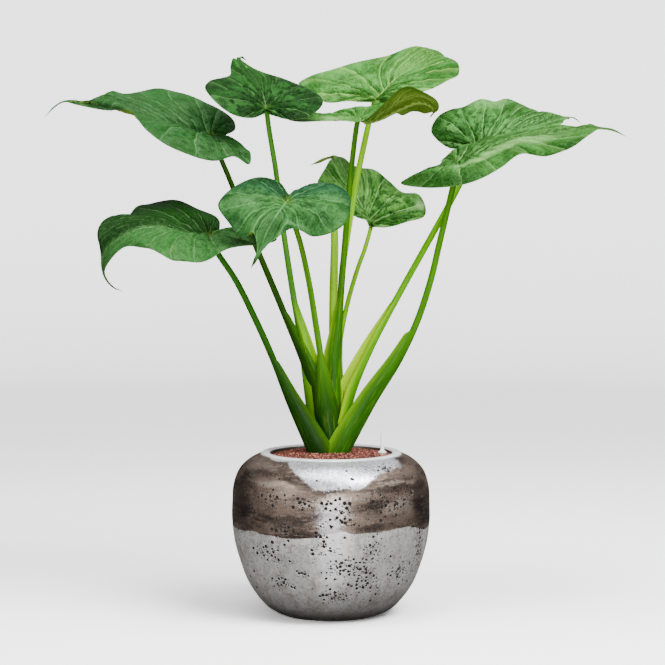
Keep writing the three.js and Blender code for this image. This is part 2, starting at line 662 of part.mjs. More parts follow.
const taken = [solidFrom(turned(CORM_OUTLINE.map(([r, z]) => [r === 0 ? 0 : r + GAP, z + GAP]), 20))];
for (const [name, leaf] of Object.entries(LEAVES)) {
  addPart(`blade_${name}`, "leaf", blade(leaf, BLADE_THICKNESS));
  let stalk = solidFrom(petiole(leaf, 0));
  for (const other of taken) stalk = stalk.subtract(other);
  const room = solidFrom(blade(leaf, BLADE_THICKNESS + 2 * LEAF_GAP));
  stalk = mainBody(stalk.subtract(room).subtract(room.translate([0, 0, -LEAF_GAP])));
  addPart(`petiole_${name}`, "stem", geometryFrom(stalk));
  taken.push(solidFrom(petiole(leaf, LEAF_GAP)));
}
let rolled = solidFrom(spear(0));
for (const other of taken) rolled = rolled.subtract(other);
addPart("rolled_leaf", "stem", geometryFrom(mainBody(rolled)));
taken.push(solidFrom(spear(LEAF_GAP)));

addPart("rootstock", "corm", geometryFrom(rootstock(0)));
let fill = solidFrom(granulate()).subtract(rootstock(2 * GAP)).subtract(solidFrom(gaugeHousing(GAP)));
for (const stalk of taken.slice(1)) fill = fill.subtract(stalk);
addPart("granulate", "clay", geometryFrom(mainBody(fill)));

addPart("planter", "cast_metal", planter());
addPart("gauge_housing", "clear_plastic", gaugeHousing(0));
addPart("gauge_float", "float_plastic", gaugeFloat());

export default plant;
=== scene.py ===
# %% [markdown]
# # A potted hooded dwarf elephant ear
# This lesson dresses a small living thing: heart-shaped leaves with drip tips on arching stalks, red clay
# granulate round their feet, a water gauge, and a cast metal planter that is silver where hands polish it
# and brown where they don't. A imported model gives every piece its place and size, and the scene replaces
# its plain faceted pieces with finer ones of the same form.

import math
import random

import bmesh
import bpy
import numpy as np
from mathutils import Matrix, Vector, noise


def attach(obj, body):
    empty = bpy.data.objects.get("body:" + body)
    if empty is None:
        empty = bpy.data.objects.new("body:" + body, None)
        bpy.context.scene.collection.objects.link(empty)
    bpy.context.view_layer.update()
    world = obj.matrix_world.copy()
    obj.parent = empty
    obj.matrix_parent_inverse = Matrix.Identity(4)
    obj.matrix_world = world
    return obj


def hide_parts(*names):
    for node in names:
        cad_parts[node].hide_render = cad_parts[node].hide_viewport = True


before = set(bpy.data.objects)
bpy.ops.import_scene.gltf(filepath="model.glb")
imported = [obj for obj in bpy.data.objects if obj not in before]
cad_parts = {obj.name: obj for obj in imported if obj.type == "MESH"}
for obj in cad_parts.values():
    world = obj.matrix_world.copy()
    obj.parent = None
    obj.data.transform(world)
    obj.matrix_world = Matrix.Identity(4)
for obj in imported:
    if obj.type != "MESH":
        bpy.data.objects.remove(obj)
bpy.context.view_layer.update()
MM = 0.001
PLANT = "planter"

# %% [markdown]
# ## The camera
# The planter's rim is seen as an ellipse about an eighth as high as it is wide, so the picture was taken
# from 7 degrees above the rim. A long lens 4 m away, tipped down by 4 degrees, gives that ellipse and keeps
# the stalks as straight as they look.

# %% Set up the camera
camera_data = bpy.data.cameras.new("portrait_camera")
camera_data.lens = 126.4
camera_data.sensor_width = 36.0
camera_data.clip_end = 60.0
camera = bpy.data.objects.new("portrait_camera", camera_data)
camera.location = (0.0026, -4.0, 0.7647)
camera.rotation_euler = (math.radians(86), 0, 0)
bpy.context.scene.collection.objects.link(camera)
bpy.context.scene.camera = camera
print("camera", tuple(round(v, 3) for v in camera.location))

# %% [markdown]
# ## Curves that pieces follow
# Stalks, midribs and leaf edges are all read from a few points. A centripetal Catmull-Rom curve goes
# through every point and never loops between two that are close, which a plain spline may do at a drip tip.


# %% Smooth paths
def smooth_path(points):
    """A curve through the points, read at a share of the way from the first to the last."""
    given = [Vector(p) for p in points]
    around = [given[0] * 2 - given[1], *given, given[-1] * 2 - given[-2]]

    def at(share):
        place = min(max(share, 0.0), 1.0) * (len(given) - 1)
        first = min(int(place), len(given) - 2)
        step = place - first
        a, b, c, d = around[first : first + 4]
        before, between, after = ((q - p).length ** 0.5 for p, q in ((a, b), (b, c), (c, d)))
        leave = ((b - a) / before - (c - a) / (before + between) + (c - b) / between) * between
        arrive = ((c - b) / between - (d - b) / (between + after) + (d - c) / after) * between
        bend = (c - b) * 3 - leave * 2 - arrive
        return b + leave * step + bend * step**2 + ((b - c) * 2 + leave + arrive) * step**3

    return at


def heading(path, share):
    """The direction in which a path runs."""
    return (path(min(share + 1e-4, 1)) - path(max(share - 1e-4, 0))).normalized()


def by_length(path):
    """The same path, read at a share of its length."""
    shares = np.linspace(0, 1, 401)
    spots = np.array([path(s) for s in shares])
    steps = np.linalg.norm(np.diff(spots, axis=0), axis=1)
    run = np.concatenate([[0], np.cumsum(steps)])
    return lambda share: path(float(np.interp(share * run[-1], run, shares)))


def read_along(values, where):
    """A run of values spread evenly over 0 to 1, read smoothly in between."""
    place = np.clip(where, 0, 1) * (len(values) - 1)
    first = np.minimum(place.astype(int), len(values) - 2)
    ease = (place - first) ** 2 * (3 - 2 * (place - first))
    values = np.array(values, float)
    return values[first] * (1 - ease) + values[first + 1] * ease


def mix(a, b, share):
    return a + (b - a) * share


def smooth(low, high, value):
    """0 below low, 1 above high, and an even rise between them."""
    share = np.clip((np.asarray(value, float) - low) / (high - low), 0, 1)
    return share * share * (3 - 2 * share)


print("a path's middle:", smooth_path([(0, 0, 0), (1, 2, 0), (2, 0, 0)])(0.5))

# %% [markdown]
# ## The plant's measures
# In millimetres, the same as the frame's. Each leaf has a joint where its stalk meets the blade. The
# stalk's path runs up its middle, and radius is its half thickness at the foot and at the joint. Its sheath
# has two heights, where it closes and where it is fully open; outward is the way its back faces, in
# degrees; depth is how deep it is when open, width half its width, and step the share by which it stands
# open at its upper end. The blade's points are measured from the joint: a midrib to the drip tip, and an
# edge on each side that starts at sinus, the notch between the lobes. arch says how high each half bulges
# at the notch, half way and at the tip, as a share of its width there.

# %% Leaves and their measures
LEAVES = {
    "low_left": dict(
        joint=(-206, -50, 650),
        path=[(-43, -12, 301), (-72, -16, 370), (-98, -22, 439), (-128, -30, 508), (-162, -38, 577),
              (-195, -46, 628)],
        outward=196, radius=(6.6, 4.8), sheath=(437, 290), step=0.2, depth=38, width=20,
        midrib=[(-39, -4, 6), (-77, -10, 16), (-114, -16, 14), (-145, -22, 1), (-169, -26, -19),
                (-179, -28, -44), (-176, -27, -66), (-162, -24, -84), (-144, -20, -91)],
        sinus=(17, 7, 8),
        left=[(53, -16, 13), (116, -45, -3), (85, -66, -17), (32, -80, -24), (1, -86, -33), (-24, -92, -38),
              (-50, -90, -34), (-77, -84, -25), (-107, -66, -16), (-140, -46, -17)],
        right=[(16, 36, 28), (0, 66, 44), (-31, 88, 53), (-68, 101, 58), (-102, 100, 58), (-127, 84, 50),
               (-144, 60, 36), (-166, 38, 39), (-182, 14, 27), (-187, -6, 4), (-182, -20, -21)],
        arch=(0.06, 0.08, 0.04),
    ),
    "right_front": dict(
        joint=(214, -20, 774),
        path=[(37, -11, 301), (74, -14, 370), (116, -18, 439), (148, -21, 508), (170, -22, 576),
              (186, -22, 644), (202, -21, 712), (208, -20, 738)],
        outward=344, radius=(6.6, 5), sheath=(484, 300), step=0.42, depth=37, width=20,
        midrib=[(40, 4, 13), (82, 8, 28), (127, 10, 42), (173, 10, 51), (213, 9, 60), (244, 7, 60),
                (267, 5, 56), (289, 4, 46)],
        sinus=(-15, 2, -3),
        left=[(-26, 20, 4), (-13, 48, 17), (13, 72, 29), (55, 86, 44), (100, 82, 53), (143, 64, 57),
              (183, 44, 60), (207, 28, 66), (224, 16, 72)],
        right=[(-46, -28, -14), (-97, -66, -35), (-59, -92, -40), (-10, -101, -36), (30, -92, -27),
               (71, -74, -7), (106, -57, 20), (150, -52, 15), (192, -36, 26), (222, -16, 46)],
        arch=(0.08, 0.1, 0.04),
        arch_right=(0.02, 0.16, 0.1),
    ),
    "front": dict(
        joint=(-74, -100, 710),
        path=[(-3, -12, 301), (-11, -15, 370), (-17, -22, 439), (-27, -34, 509), (-38, -50, 578),
              (-53, -72, 646), (-63, -84, 676)],
        outward=262, radius=(6.4, 4.3), sheath=(448, 350), step=0.1, depth=24, width=23,
        midrib=[(-14, -30, -19), (-29, -58, -45), (-40, -76, -71), (-48, -84, -90), (-57, -86, -107)],
        sinus=(4, 14, 13),
        left=[(22, 44, 25), (64, 60, 30), (104, 32, 6), (97, -8, -35), (44, -42, -56), (10, -56, -42),
              (-21, -72, -63)],
        right=[(-17, 34, 32), (-52, 44, 42), (-92, 22, 23), (-114, -8, -8), (-96, -36, -31),
               (-70, -60, -56), (-55, -70, -48)],
        arch=(0.1, 0.08, 0.02),
    ),
    "upper_left": dict(
        joint=(-208, 20, 821),
        path=[(-20, 10, 316), (-31, 12, 385), (-48, 15, 436), (-76, 22, 505), (-105, 30, 574),
              (-140, 34, 657), (-174, 28, 746), (-199, 21, 804)],
        outward=165, radius=(7, 4.1), sheath=(515, 340), step=0.25, depth=28, width=18,
        midrib=[(-52, 12, 17), (-104, 22, 33), (-151, 28, 46), (-194, 32, 60), (-225, 30, 59),
                (-251, 27, 62), (-270, 24, 52), (-286, 22, 33)],
        sinus=(22, 2, -1),
        left=[(56, -24, -13), (70, -42, -24), (70, -56, -46), (46, -68, -32), (14, -78, -37),
              (-27, -82, -28), (-70, -75, -17), (-105, -56, 7), (-137, -16, 40), (-168, 10, 48)],
        right=[(43, 40, 18), (34, 66, 35), (10, 90, 51), (-22, 106, 64), (-58, 113, 73), (-93, 112, 81),
               (-124, 104, 79), (-154, 86, 78), (-175, 66, 82), (-191, 44, 66)],
        arch=(0.07, 0.07, 0.03),
    ),
    "right_back": dict(
        joint=(256, 130, 802),
        path=[(21, 10, 316), (38, 15, 384), (67, 24, 453), (103, 42, 521), (142, 63, 590), (182, 88, 659),
              (221, 112, 728), (240, 124, 767)],
        outward=28, radius=(6, 5.2), sheath=(534, 380), step=0.15, depth=28, width=16,
        midrib=[(39, 10, 16), (82, 20, 31), (127, 28, 44), (161, 34, 53), (174, 37, 55), (189, 40, 45)],
        sinus=(-22, -4, 1),
        left=[(-48, 0, 0), (-78, 6, 28), (-68, 26, 57), (-44, 50, 71), (-20, 66, 73), (12, 88, 84),
              (38, 98, 79), (64, 106, 88), (88, 100, 79), (104, 86, 63), (135, 58, 56)],
        right=[(-45, -38, -14), (-15, -68, -27), (37, -70, -11), (88, -42, 8), (126, -8, 26),
               (153, 16, 39)],
        arch=(0.06, 0.06, 0.03),
    ),
    "top_left": dict(
        joint=(-110, 10, 865),
        path=[(-32, 22, 316), (-40, 26, 385), (-50, 32, 461), (-64, 38, 539), (-75, 41, 608),
              (-86, 38, 686), (-95, 28, 763), (-106, 14, 832)],
        outward=140, radius=(6.4, 4.2), sheath=(531, 420), step=0.1, depth=28, width=16,
        midrib=[(-7, 40, 26), (-19, 85, 51), (-36, 130, 73), (-51, 158, 87), (-54, 172, 96),
                (-49, 180, 100), (-40, 184, 92)],
        sinus=(-1, -16, -5),
        left=[(-23, -52, -12), (-62, -58, -3), (-105, -15, 31), (-100, 30, 46), (-79, 66, 56),
              (-66, 100, 68), (-67, 132, 84), (-63, 150, 96), (-58, 156, 88)],
        right=[(31, -52, -13), (68, -58, -10), (97, -22, 11), (72, 35, 37), (39, 70, 55), (-2, 112, 71),
               (-37, 148, 87)],
        arch=(0.07, 0.06, 0.03),
    ),
    "top_right": dict(
        joint=(78, 150, 886),
        path=[(8, 28, 331), (12, 38, 452), (20, 60, 590), (30, 78, 659), (45, 108, 746), (60, 134, 816),
              (68, 144, 851)],
        outward=65, radius=(6.6, 5), sheath=(500, 380), step=0.1, depth=26, width=14,
        midrib=[(38, 40, 39), (75, 80, 66), (109, 115, 82), (130, 140, 81), (138, 152, 67), (140, 158, 49)],
        sinus=(-10, -13, -3),
        left=[(-41, -28, -4), (-90, -22, -4), (-135, 10, 29), (-117, 45, 44), (-53, 95, 65), (20, 135, 81),
              (79, 150, 107), (116, 150, 100)],
        right=[(19, -28, -7), (50, -32, 3), (85, -25, 18), (122, -5, 26), (148, 30, 44), (151, 70, 67),
               (138, 108, 83)],
        arch=(0.07, 0.06, 0.03),
    ),
    "middle": dict(
        joint=(72, 150, 667),
        path=[(9, 36, 330), (14, 46, 451), (26, 60, 520), (46, 88, 589), (59, 112, 623), (68, 136, 652)],
        outward=85, radius=(5.2, 3.6), sheath=(470, 380), step=0.1, depth=24, width=14,
        midrib=[(-19, 22, 34), (-36, 50, 71), (-52, 78, 103), (-65, 96, 123), (-88, 96, 114),
                (-110, 90, 105)],
        sinus=(-3, -12, -4),
        left=[(-26, -38, 10), (-60, -42, 33), (-90, -22, 60), (-93, 10, 80), (-85, 42, 96), (-75, 72, 113)],
        right=[(18, -22, -7), (55, -26, 3), (91, -6, 8), (97, 14, 27), (85, 34, 51), (57, 54, 60),
               (33, 74, 79), (6, 88, 96), (-27, 94, 94), (-49, 97, 110)],
        arch=(0.06, 0.06, 0.03),
    ),
    "top_low": dict(
        joint=(46, 20, 848),
        path=[(9, -2, 317), (10, 3, 403), (14, 9, 497), (19, 14, 575), (25, 18, 652), (33, 21, 746),
              (43, 21, 832)],
        outward=330, radius=(6.6, 4.4), sheath=(540, 450), step=0.1, depth=26, width=13,
        midrib=[(17, -14, -1), (37, -30, 4), (57, -50, 13), (79, -72, 23), (100, -92, 29), (116, -108, 26),
                (126, -118, 17), (124, -124, 8), (120, -126, 4), (119, -127, 2)],
        sinus=(-13, 16, 2),
        left=[(-43, 38, 16), (-36, 64, 21), (-9, 86, 27), (22, 98, 31), (49, 98, 31), (68, 80, 17),
              (76, 60, 11), (89, 30, 17), (102, -20, 15), (112, -74, 10)],
        right=[(-62, 32, 13), (-99, 24, 9), (-119, 8, 5), (-106, -18, -3), (-68, -44, -3), (-27, -70, -4),
               (6, -90, -4), (33, -108, 14), (57, -124, 34), (81, -142, 49), (102, -156, 47),
               (120, -158, 34), (129, -148, 19)],
        arch=(0.04, 0.04, 0.02),
    ),
}
print("leaves:", ", ".join(LEAVES))

# %% [markdown]
# ## Node helpers
# Every finish here is a tree of shader nodes. Small helpers keep the trees readable: one feeds a socket
# with a value or with another socket, one adds a node, and the others name the sums that are used all the
# time.


# %% Small helpers for shader nodes
def paint(red, green, blue):
    """A colour as a screen shows it, 0 to 255, turned into the linear one that the shader needs."""
    shares = [c / 255 for c in (red, green, blue)]
    return tuple(((s + 0.055) / 1.055) ** 2.4 if s > 0.04 else s / 12.92 for s in shares) + (1.0,)


def feed(tree, socket, value):
    if isinstance(value, bpy.types.NodeSocket):
        tree.links.new(value, socket)
    else:
        socket.default_value = value


def add_node(tree, kind, inputs=None, **settings):
    node = tree.nodes.new("ShaderNode" + kind)
    for name, value in settings.items():
        setattr(node, name, value)
    for name, value in (inputs or {}).items():
        feed(tree, node.inputs[name], value)
    return node


def reckon(tree, operation, *values, clamp=False):
    """One step of arithmetic on values or sockets."""
    return add_node(tree, "Math", dict(enumerate(values)), operation=operation, use_clamp=clamp).outputs[0]


def rise(tree, value, low, high, start=0.0, end=1.0):
    """Runs smoothly from start to end as value goes from low to high."""
    inputs = {"Value": value, "From Min": low, "From Max": high, "To Min": start, "To Max": end}
    return add_node(tree, "MapRange", inputs, interpolation_type="SMOOTHSTEP").outputs[0]


def tint(tree, share, first, second, mode="MIX"):
    """first, changed by second as far as share says."""
    inputs = {0: share, 6: first, 7: second}
    return add_node(tree, "Mix", inputs, data_type="RGBA", blend_type=mode).outputs[2]


def speckle(tree, scale, detail=2.0, roughness=0.5, stretch=(1, 1, 1), vector=None):
    """Cloudy noise between about 0.3 and 0.7, on the piece's own coordinates unless others are given."""
    if vector is None:
        vector = add_node(tree, "TexCoord").outputs["Object"]
    scaled = add_node(tree, "Mapping", {"Vector": vector, "Scale": stretch}).outputs[0]
    inputs = {"Vector": scaled, "Scale": scale, "Detail": detail, "Roughness": roughness}
    return add_node(tree, "TexNoise", inputs).outputs[0]


def new_group(name, inputs, outputs):
    """An empty shader group with float or colour sockets, and its two ends."""
    group = bpy.data.node_groups.new(name, "ShaderNodeTree")
    for label, kind, value in inputs:
        socket = group.interface.new_socket(label, in_out="INPUT", socket_type="NodeSocket" + kind)
        socket.default_value = value
    for label, kind in outputs:
        group.interface.new_socket(label, in_out="OUTPUT", socket_type="NodeSocket" + kind)
    return group, group.nodes.new("NodeGroupInput"), group.nodes.new("NodeGroupOutput")


def use_group(tree, group, **inputs):
    node = tree.nodes.new("ShaderNodeGroup")
    node.node_tree = group
    for name, value in inputs.items():
        feed(tree, node.inputs[name], value)
    return node


def new_material(name, **constants):
    """A material with a Principled shader whose unlinked sockets take the given constants."""
    material = bpy.data.materials.new(name)
    material.use_nodes = True
    tree = material.node_tree
    shader = tree.nodes["Principled BSDF"]
    for label, value in constants.items():
        shader.inputs[label.replace("_", " ")].default_value = value
    return material, tree, shader


print("helpers ready")

# %% [markdown]
# ## A net of veins
# A blade's main veins leave the midrib and the stalk's joint, arch forward and meet at the drip tip. Finer
# ones run between them, and the finest make a net. The blade's mesh carries two maps that follow its own
# growth: veins holds the distance from the midrib and a count that goes up by one from each main vein to
# the next, and spans the distance between two veins and the distance to the edge. A vein is drawn where
# that count is whole.


# %% Build the vein group
def build_vein_net():
    group, given, out = new_group(
        "vein_net",
        [("Width", "Float", 1.0), ("Wander", "Float", 0.2), ("Net Scale", "Float", 150.0)],
        [("Main", "Float"), ("Fine", "Float"), ("Relief", "Float"), ("Edge", "Float"), ("Lobe", "Float"),
         ("Streak", "Float"), ("Pucker", "Float"), ("Halo", "Float"), ("Panel", "Float")],
    )
    veins = add_node(group, "SeparateXYZ", {0: add_node(group, "UVMap", uv_map="veins").outputs[0]})
    spans = add_node(group, "SeparateXYZ", {0: add_node(group, "UVMap", uv_map="spans").outputs[0]})
    rib, count = veins.outputs[0], veins.outputs[1]
    span, edge = spans.outputs[0], spans.outputs[1]
    sway = reckon(group, "SUBTRACT", speckle(group, 30.0, 3.0), 0.5)
    swayed = reckon(group, "MULTIPLY_ADD", sway, given.outputs["Wander"], count)

    def distance(parts):
        """Millimetres to the nearest of the lines that divide each span into parts."""
        place = reckon(group, "FRACT", reckon(group, "MULTIPLY", swayed, float(parts)))
        off = reckon(group, "SUBTRACT", 0.5, reckon(group, "ABSOLUTE", reckon(group, "SUBTRACT", place, 0.5)))
        return reckon(group, "DIVIDE", reckon(group, "MULTIPLY", off, span), float(parts))

    taper = reckon(group, "MULTIPLY", given.outputs["Width"], rise(group, edge, 0.0, 45.0, 0.35, 1.0))
    to_main = distance(1)
    off_line = rise(group, reckon(group, "DIVIDE", to_main, taper), 0.15, 1.0)
    near_main = reckon(group, "SUBTRACT", 1.0, off_line)
    near_main = reckon(group, "MULTIPLY", near_main, rise(group, span, 2.5, 8.0))
    near_rib = rise(group, rib, 0.6, 1.9, 1.0, 0.0)
    main = reckon(group, "MAXIMUM", near_main, near_rib)
    to_fine = distance(4)
    lines = reckon(group, "MULTIPLY", rise(group, to_fine, 0.1, 0.45, 1.0, 0.0), rise(group, span, 5.0, 12.0))
    coords = add_node(group, "TexCoord").outputs["Object"]
    warped = add_node(group, "TexNoise", {"Vector": coords, "Scale": 60.0}).outputs[1]
    bent = add_node(group, "Mix", {0: 0.02, 4: coords, 5: warped}, data_type="VECTOR").outputs[1]
    cells = add_node(group, "TexVoronoi", {"Vector": bent, "Scale": given.outputs["Net Scale"]},
                     feature="DISTANCE_TO_EDGE").outputs["Distance"]
    net = rise(group, cells, 0.0, 0.09, 1.0, 0.0)
    fine = reckon(group, "MAXIMUM", reckon(group, "MULTIPLY", lines, 0.8),
                  reckon(group, "MULTIPLY", net, 0.6))
    swell = rise(group, to_main, 0.0, 5.0)
    cushion = rise(group, cells, 0.0, 0.35)
    relief = reckon(group, "MULTIPLY_ADD", cushion, 0.3, reckon(group, "MULTIPLY", swell, 0.7))
    grown = {0: reckon(group, "MULTIPLY", rib, 0.022), 1: reckon(group, "MULTIPLY", swayed, 1.3)}
    along = add_node(group, "CombineXYZ", grown).outputs[0]
    strands = {"Vector": along, "Scale": 1.0, "Detail": 4.0, "Roughness": 0.62}
    streak = add_node(group, "TexNoise", strands).outputs[0]
    group.links.new(streak, out.inputs["Streak"])
    crowded = {0: reckon(group, "MULTIPLY", rib, 0.085), 1: reckon(group, "MULTIPLY", swayed, 3.6)}
    packed = add_node(group, "CombineXYZ", crowded).outputs[0]
    folds = {"Vector": packed, "Scale": 1.0, "Detail": 3.0, "Roughness": 0.6}
    pucker = rise(group, add_node(group, "TexNoise", folds).outputs[0], 0.5, 0.62)
    group.links.new(pucker, out.inputs["Pucker"])
    group.links.new(rise(group, to_main, 0.3, 3.5, 1.0, 0.0), out.inputs["Halo"])
    group.links.new(reckon(group, "FRACT", swayed), out.inputs["Panel"])
    group.links.new(main, out.inputs["Main"])
    group.links.new(fine, out.inputs["Fine"])
    group.links.new(relief, out.inputs["Relief"])
    group.links.new(rise(group, edge, 0.3, 1.3, 1.0, 0.0), out.inputs["Edge"])
    group.links.new(rise(group, count, 1.9, 3.3, 1.0, 0.0), out.inputs["Lobe"])
    return group


VEIN_NET = build_vein_net()
print("vein group with", len(VEIN_NET.nodes), "nodes")

# %% [markdown]
# ## Leaf green
# No leaf has one green. The upper side goes from deep to fresh in soft clouds, is darker in patches near the
# joint, painted shade that is deepest in the crumpled skin's hollows and folds, and pales along the veins and
# the margin, with painted shade behind each vein and a painted highlight before the next. The underside is
# paler and yellower, with its veins standing out. Leaves differ with age and light, so each has a material of
# its own from one recipe.


# %% Shades of a colour
TIP_DARK = 0.85  # how much darker the dry end of a drip tip is, where a leaf has no value of its own
PANEL_SHADE = 0.5  # how much the skin darkens behind a vein; ahead of the next it pales by a third of that


def darker(colour, share):
    return tuple(c * share for c in colour[:3]) + (1.0,)


def shadowed(colour, share):
    """Darker, with more green than red or blue left, as leaf is where light falls through another."""
    return tuple(c * share * k for c, k in zip(colour[:3], (0.6, 1.25, 0.4))) + (1.0,)


def measure(tree, name):
    """A value that the mesh carries at its vertices."""
    return add_node(tree, "Attribute", attribute_name=name).outputs["Fac"]


print("fresh green in shadow:", tuple(round(c, 3) for c in shadowed(paint(60, 118, 46), 0.7)))


# %% Upper side
def leaf_skin(tree, net, mixed, near, deep, fresh, vein, lobe, lobe_share, blot_and_fold_shade, far, far_light):
    """The skin's green between the veins: clouds first, then painted shade beside veins, in folds and in
    blots.
    """
    base = tint(tree, rise(tree, mixed, 0.42, 0.58), deep, fresh)
    if lobe is not None:
        base = tint(tree, reckon(tree, "MULTIPLY", net.outputs["Lobe"], lobe_share), base, lobe)
    base = tint(tree, reckon(tree, "MULTIPLY", net.outputs["Halo"], 0.12), base, vein)
    # Painted shade just behind each vein and a painted highlight just before the next, as light across the
    # quilted skin gives.
    uneven = rise(tree, speckle(tree, 11.0, 2.0), 0.38, 0.62, 0.45, 1.0)
    behind = reckon(tree, "MULTIPLY", rise(tree, net.outputs["Panel"], 0.0, 0.5, PANEL_SHADE, 0.0), uneven)
    base = tint(tree, behind, base, shadowed(deep, 0.7))
    before_next = rise(tree, net.outputs["Panel"], 0.5, 0.97, 0.0, PANEL_SHADE * 0.3)
    ahead = reckon(tree, "MULTIPLY", before_next, uneven)
    base = tint(tree, ahead, base, vein)
    # Painted shade on the blade's far half: far says how much, far_light how light that shade is.
    beyond = reckon(tree, "MULTIPLY", measure(tree, "far_half"), far)
    base = tint(tree, beyond, base, shadowed(deep, far_light))
    # Painted shade: dark blots near the joint, deepest in the crumpled skin's hollows, and in its folds.
    rough = reckon(tree, "SUBTRACT", speckle(tree, 120.0, 3.0, 0.6), 0.5)
    ragged = reckon(tree, "MULTIPLY_ADD", rough, 1.2, measure(tree, "hollow"))
    blots = reckon(tree, "MULTIPLY", rise(tree, ragged, 0.25, 0.75), rise(tree, near, 0.05, 0.6, 0.35, 1.0))
    base = tint(tree, reckon(tree, "MULTIPLY", blots, blot_and_fold_shade), base, shadowed(deep, 0.4))
    folded = reckon(tree, "MULTIPLY", net.outputs["Pucker"], rise(tree, near, 0.0, 0.5, 0.3, 1.0))
    base = tint(tree, reckon(tree, "MULTIPLY", folded, min(blot_and_fold_shade + 0.15, 1)), base, shadowed(deep, 0.36))
    # The listed soft spots: painted shade where they are positive, painted highlight where negative.
    shade = measure(tree, "shaded")
    broken = reckon(tree, "MULTIPLY_ADD", reckon(tree, "SUBTRACT", mixed, 0.5), 1.6, shade)
    base = tint(tree, rise(tree, broken, 0.1, 1.1, 0.0, 0.85), base, shadowed(deep, 0.42))
    return tint(tree, rise(tree, shade, 0.0, -0.5, 0.0, 0.5), base, vein)


def upper_side(name, deep, fresh, vein, lobe=None, lobe_share=0.0, blot_and_fold_shade=0.5, far=0.0, far_light=0.45,
               tip_dark=TIP_DARK):
    material, tree, shader = new_material(name, IOR=1.4, Specular_IOR_Level=0.07)
    net = use_group(tree, VEIN_NET, Width=0.75, Wander=0.3)
    clouds = reckon(tree, "MULTIPLY", speckle(tree, 14.0, 3.0), 0.4)
    mixed = reckon(tree, "MULTIPLY_ADD", net.outputs["Streak"], 0.6, clouds)
    near = measure(tree, "near_joint")
    base = leaf_skin(tree, net, mixed, near, deep, fresh, vein, lobe, lobe_share, blot_and_fold_shade, far, far_light)
    lit = tint(tree, reckon(tree, "MULTIPLY", net.outputs["Fine"], 0.16), base, vein)
    faded = rise(tree, speckle(tree, 22.0, 2.0), 0.35, 0.6, 0.25, 0.7)
    lit = tint(tree, reckon(tree, "MULTIPLY", net.outputs["Main"], faded), lit, vein)
    lit = tint(tree, reckon(tree, "MULTIPLY", net.outputs["Edge"], 0.3), lit, vein)
    heart = reckon(tree, "POWER", near, 60.0)
    lit = tint(tree, reckon(tree, "MULTIPLY", heart, 0.5), lit, paint(104, 148, 52))
    dry = reckon(tree, "MULTIPLY", measure(tree, "to_tip"), tip_dark)
    feed(tree, shader.inputs["Base Color"], tint(tree, dry, lit, paint(30, 58, 14)))
    grain = speckle(tree, 900.0, 2.0)
    height = reckon(tree, "MULTIPLY_ADD", grain, 0.1, net.outputs["Relief"])
    height = reckon(tree, "SUBTRACT", height, reckon(tree, "MULTIPLY", net.outputs["Pucker"], 0.6))
    bump = add_node(tree, "Bump", {"Strength": 0.8, "Distance": 0.0026, "Height": height})
    feed(tree, shader.inputs["Normal"], bump.outputs[0])
    feed(tree, shader.inputs["Roughness"], reckon(tree, "MULTIPLY_ADD", speckle(tree, 120.0), 0.3, 0.28))
    return material


gives = [s.name for s in VEIN_NET.interface.items_tree if s.in_out == "OUTPUT"]
print("the vein group gives the skin:", ", ".join(gives))


# %% Underside and margin
def underside(name, skin, vein, tip_dark=TIP_DARK):
    material, tree, shader = new_material(name, IOR=1.4, Specular_IOR_Level=0.12)
    net = use_group(tree, VEIN_NET, Width=1.5, Wander=0.35)
    clouds = rise(tree, speckle(tree, 18.0, 3.0), 0.35, 0.65)
    base = tint(tree, clouds, darker(skin, 0.7), skin)
    # The same soft spots, as painted shade underneath.
    base = tint(tree, rise(tree, measure(tree, "shaded"), 0.0, 0.9, 0.0, 0.8), base, shadowed(skin, 0.4))
    lit = tint(tree, reckon(tree, "MULTIPLY", net.outputs["Fine"], 0.3), base, vein)
    lit = tint(tree, reckon(tree, "MULTIPLY", net.outputs["Main"], 0.75), lit, vein)
    dry = reckon(tree, "MULTIPLY", measure(tree, "to_tip"), tip_dark)
    feed(tree, shader.inputs["Base Color"], tint(tree, dry, lit, paint(36, 58, 14)))
    furrows = reckon(tree, "MULTIPLY", net.outputs["Relief"], 0.5)
    height = reckon(tree, "SUBTRACT", net.outputs["Main"], furrows)
    bump = add_node(tree, "Bump", {"Strength": 0.6, "Distance": 0.001, "Height": height})
    feed(tree, shader.inputs["Normal"], bump.outputs[0])
    feed(tree, shader.inputs["Roughness"], reckon(tree, "MULTIPLY_ADD", speckle(tree, 150.0), 0.2, 0.42))
    return material


def margin(name, colour):
    material, tree, shader = new_material(name, Roughness=0.5, Specular_IOR_Level=0.12)
    shade = rise(tree, speckle(tree, 60.0), 0.35, 0.65)
    feed(tree, shader.inputs["Base Color"], tint(tree, shade, colour, darker(colour, 0.5)))
    return material


MARGIN = margin("leaf_margin", paint(84, 118, 40))
print("margin finish:", MARGIN.name)

# %% [markdown]
# ## From a bmesh to a piece
# Each piece is shaped in a bmesh, Blender's workbench for vertices and faces, and only then becomes a mesh
# with an object of its own. Leaves and stalks start as a flat grid that runs from -1 to 1, so each vertex
# has a column and a row, and those say where it belongs on the plant.


# %% Helpers for meshes
def grid_places(bm, columns, rows):
    """The column and the row of every vertex of a fresh flat grid."""
    return {v: (round((v.co.x + 1) / 2 * columns), round((v.co.y + 1) / 2 * rows)) for v in bm.verts}


def finished_piece(bm, name, materials=()):
    """Turns the bmesh into a mesh and an object with one name, and frees it."""
    mesh = bpy.data.meshes.new(name)
    bm.to_mesh(mesh)
    bm.free()
    for material in materials:
        mesh.materials.append(material)
    piece = bpy.data.objects.new(name, mesh)
    bpy.context.scene.collection.objects.link(piece)
    return piece


small_grid = bmesh.new()
bmesh.ops.create_grid(small_grid, x_segments=2, y_segments=1, size=1)
print("columns and rows of a small grid:", sorted(grid_places(small_grid, 2, 1).values()))
small_grid.free()

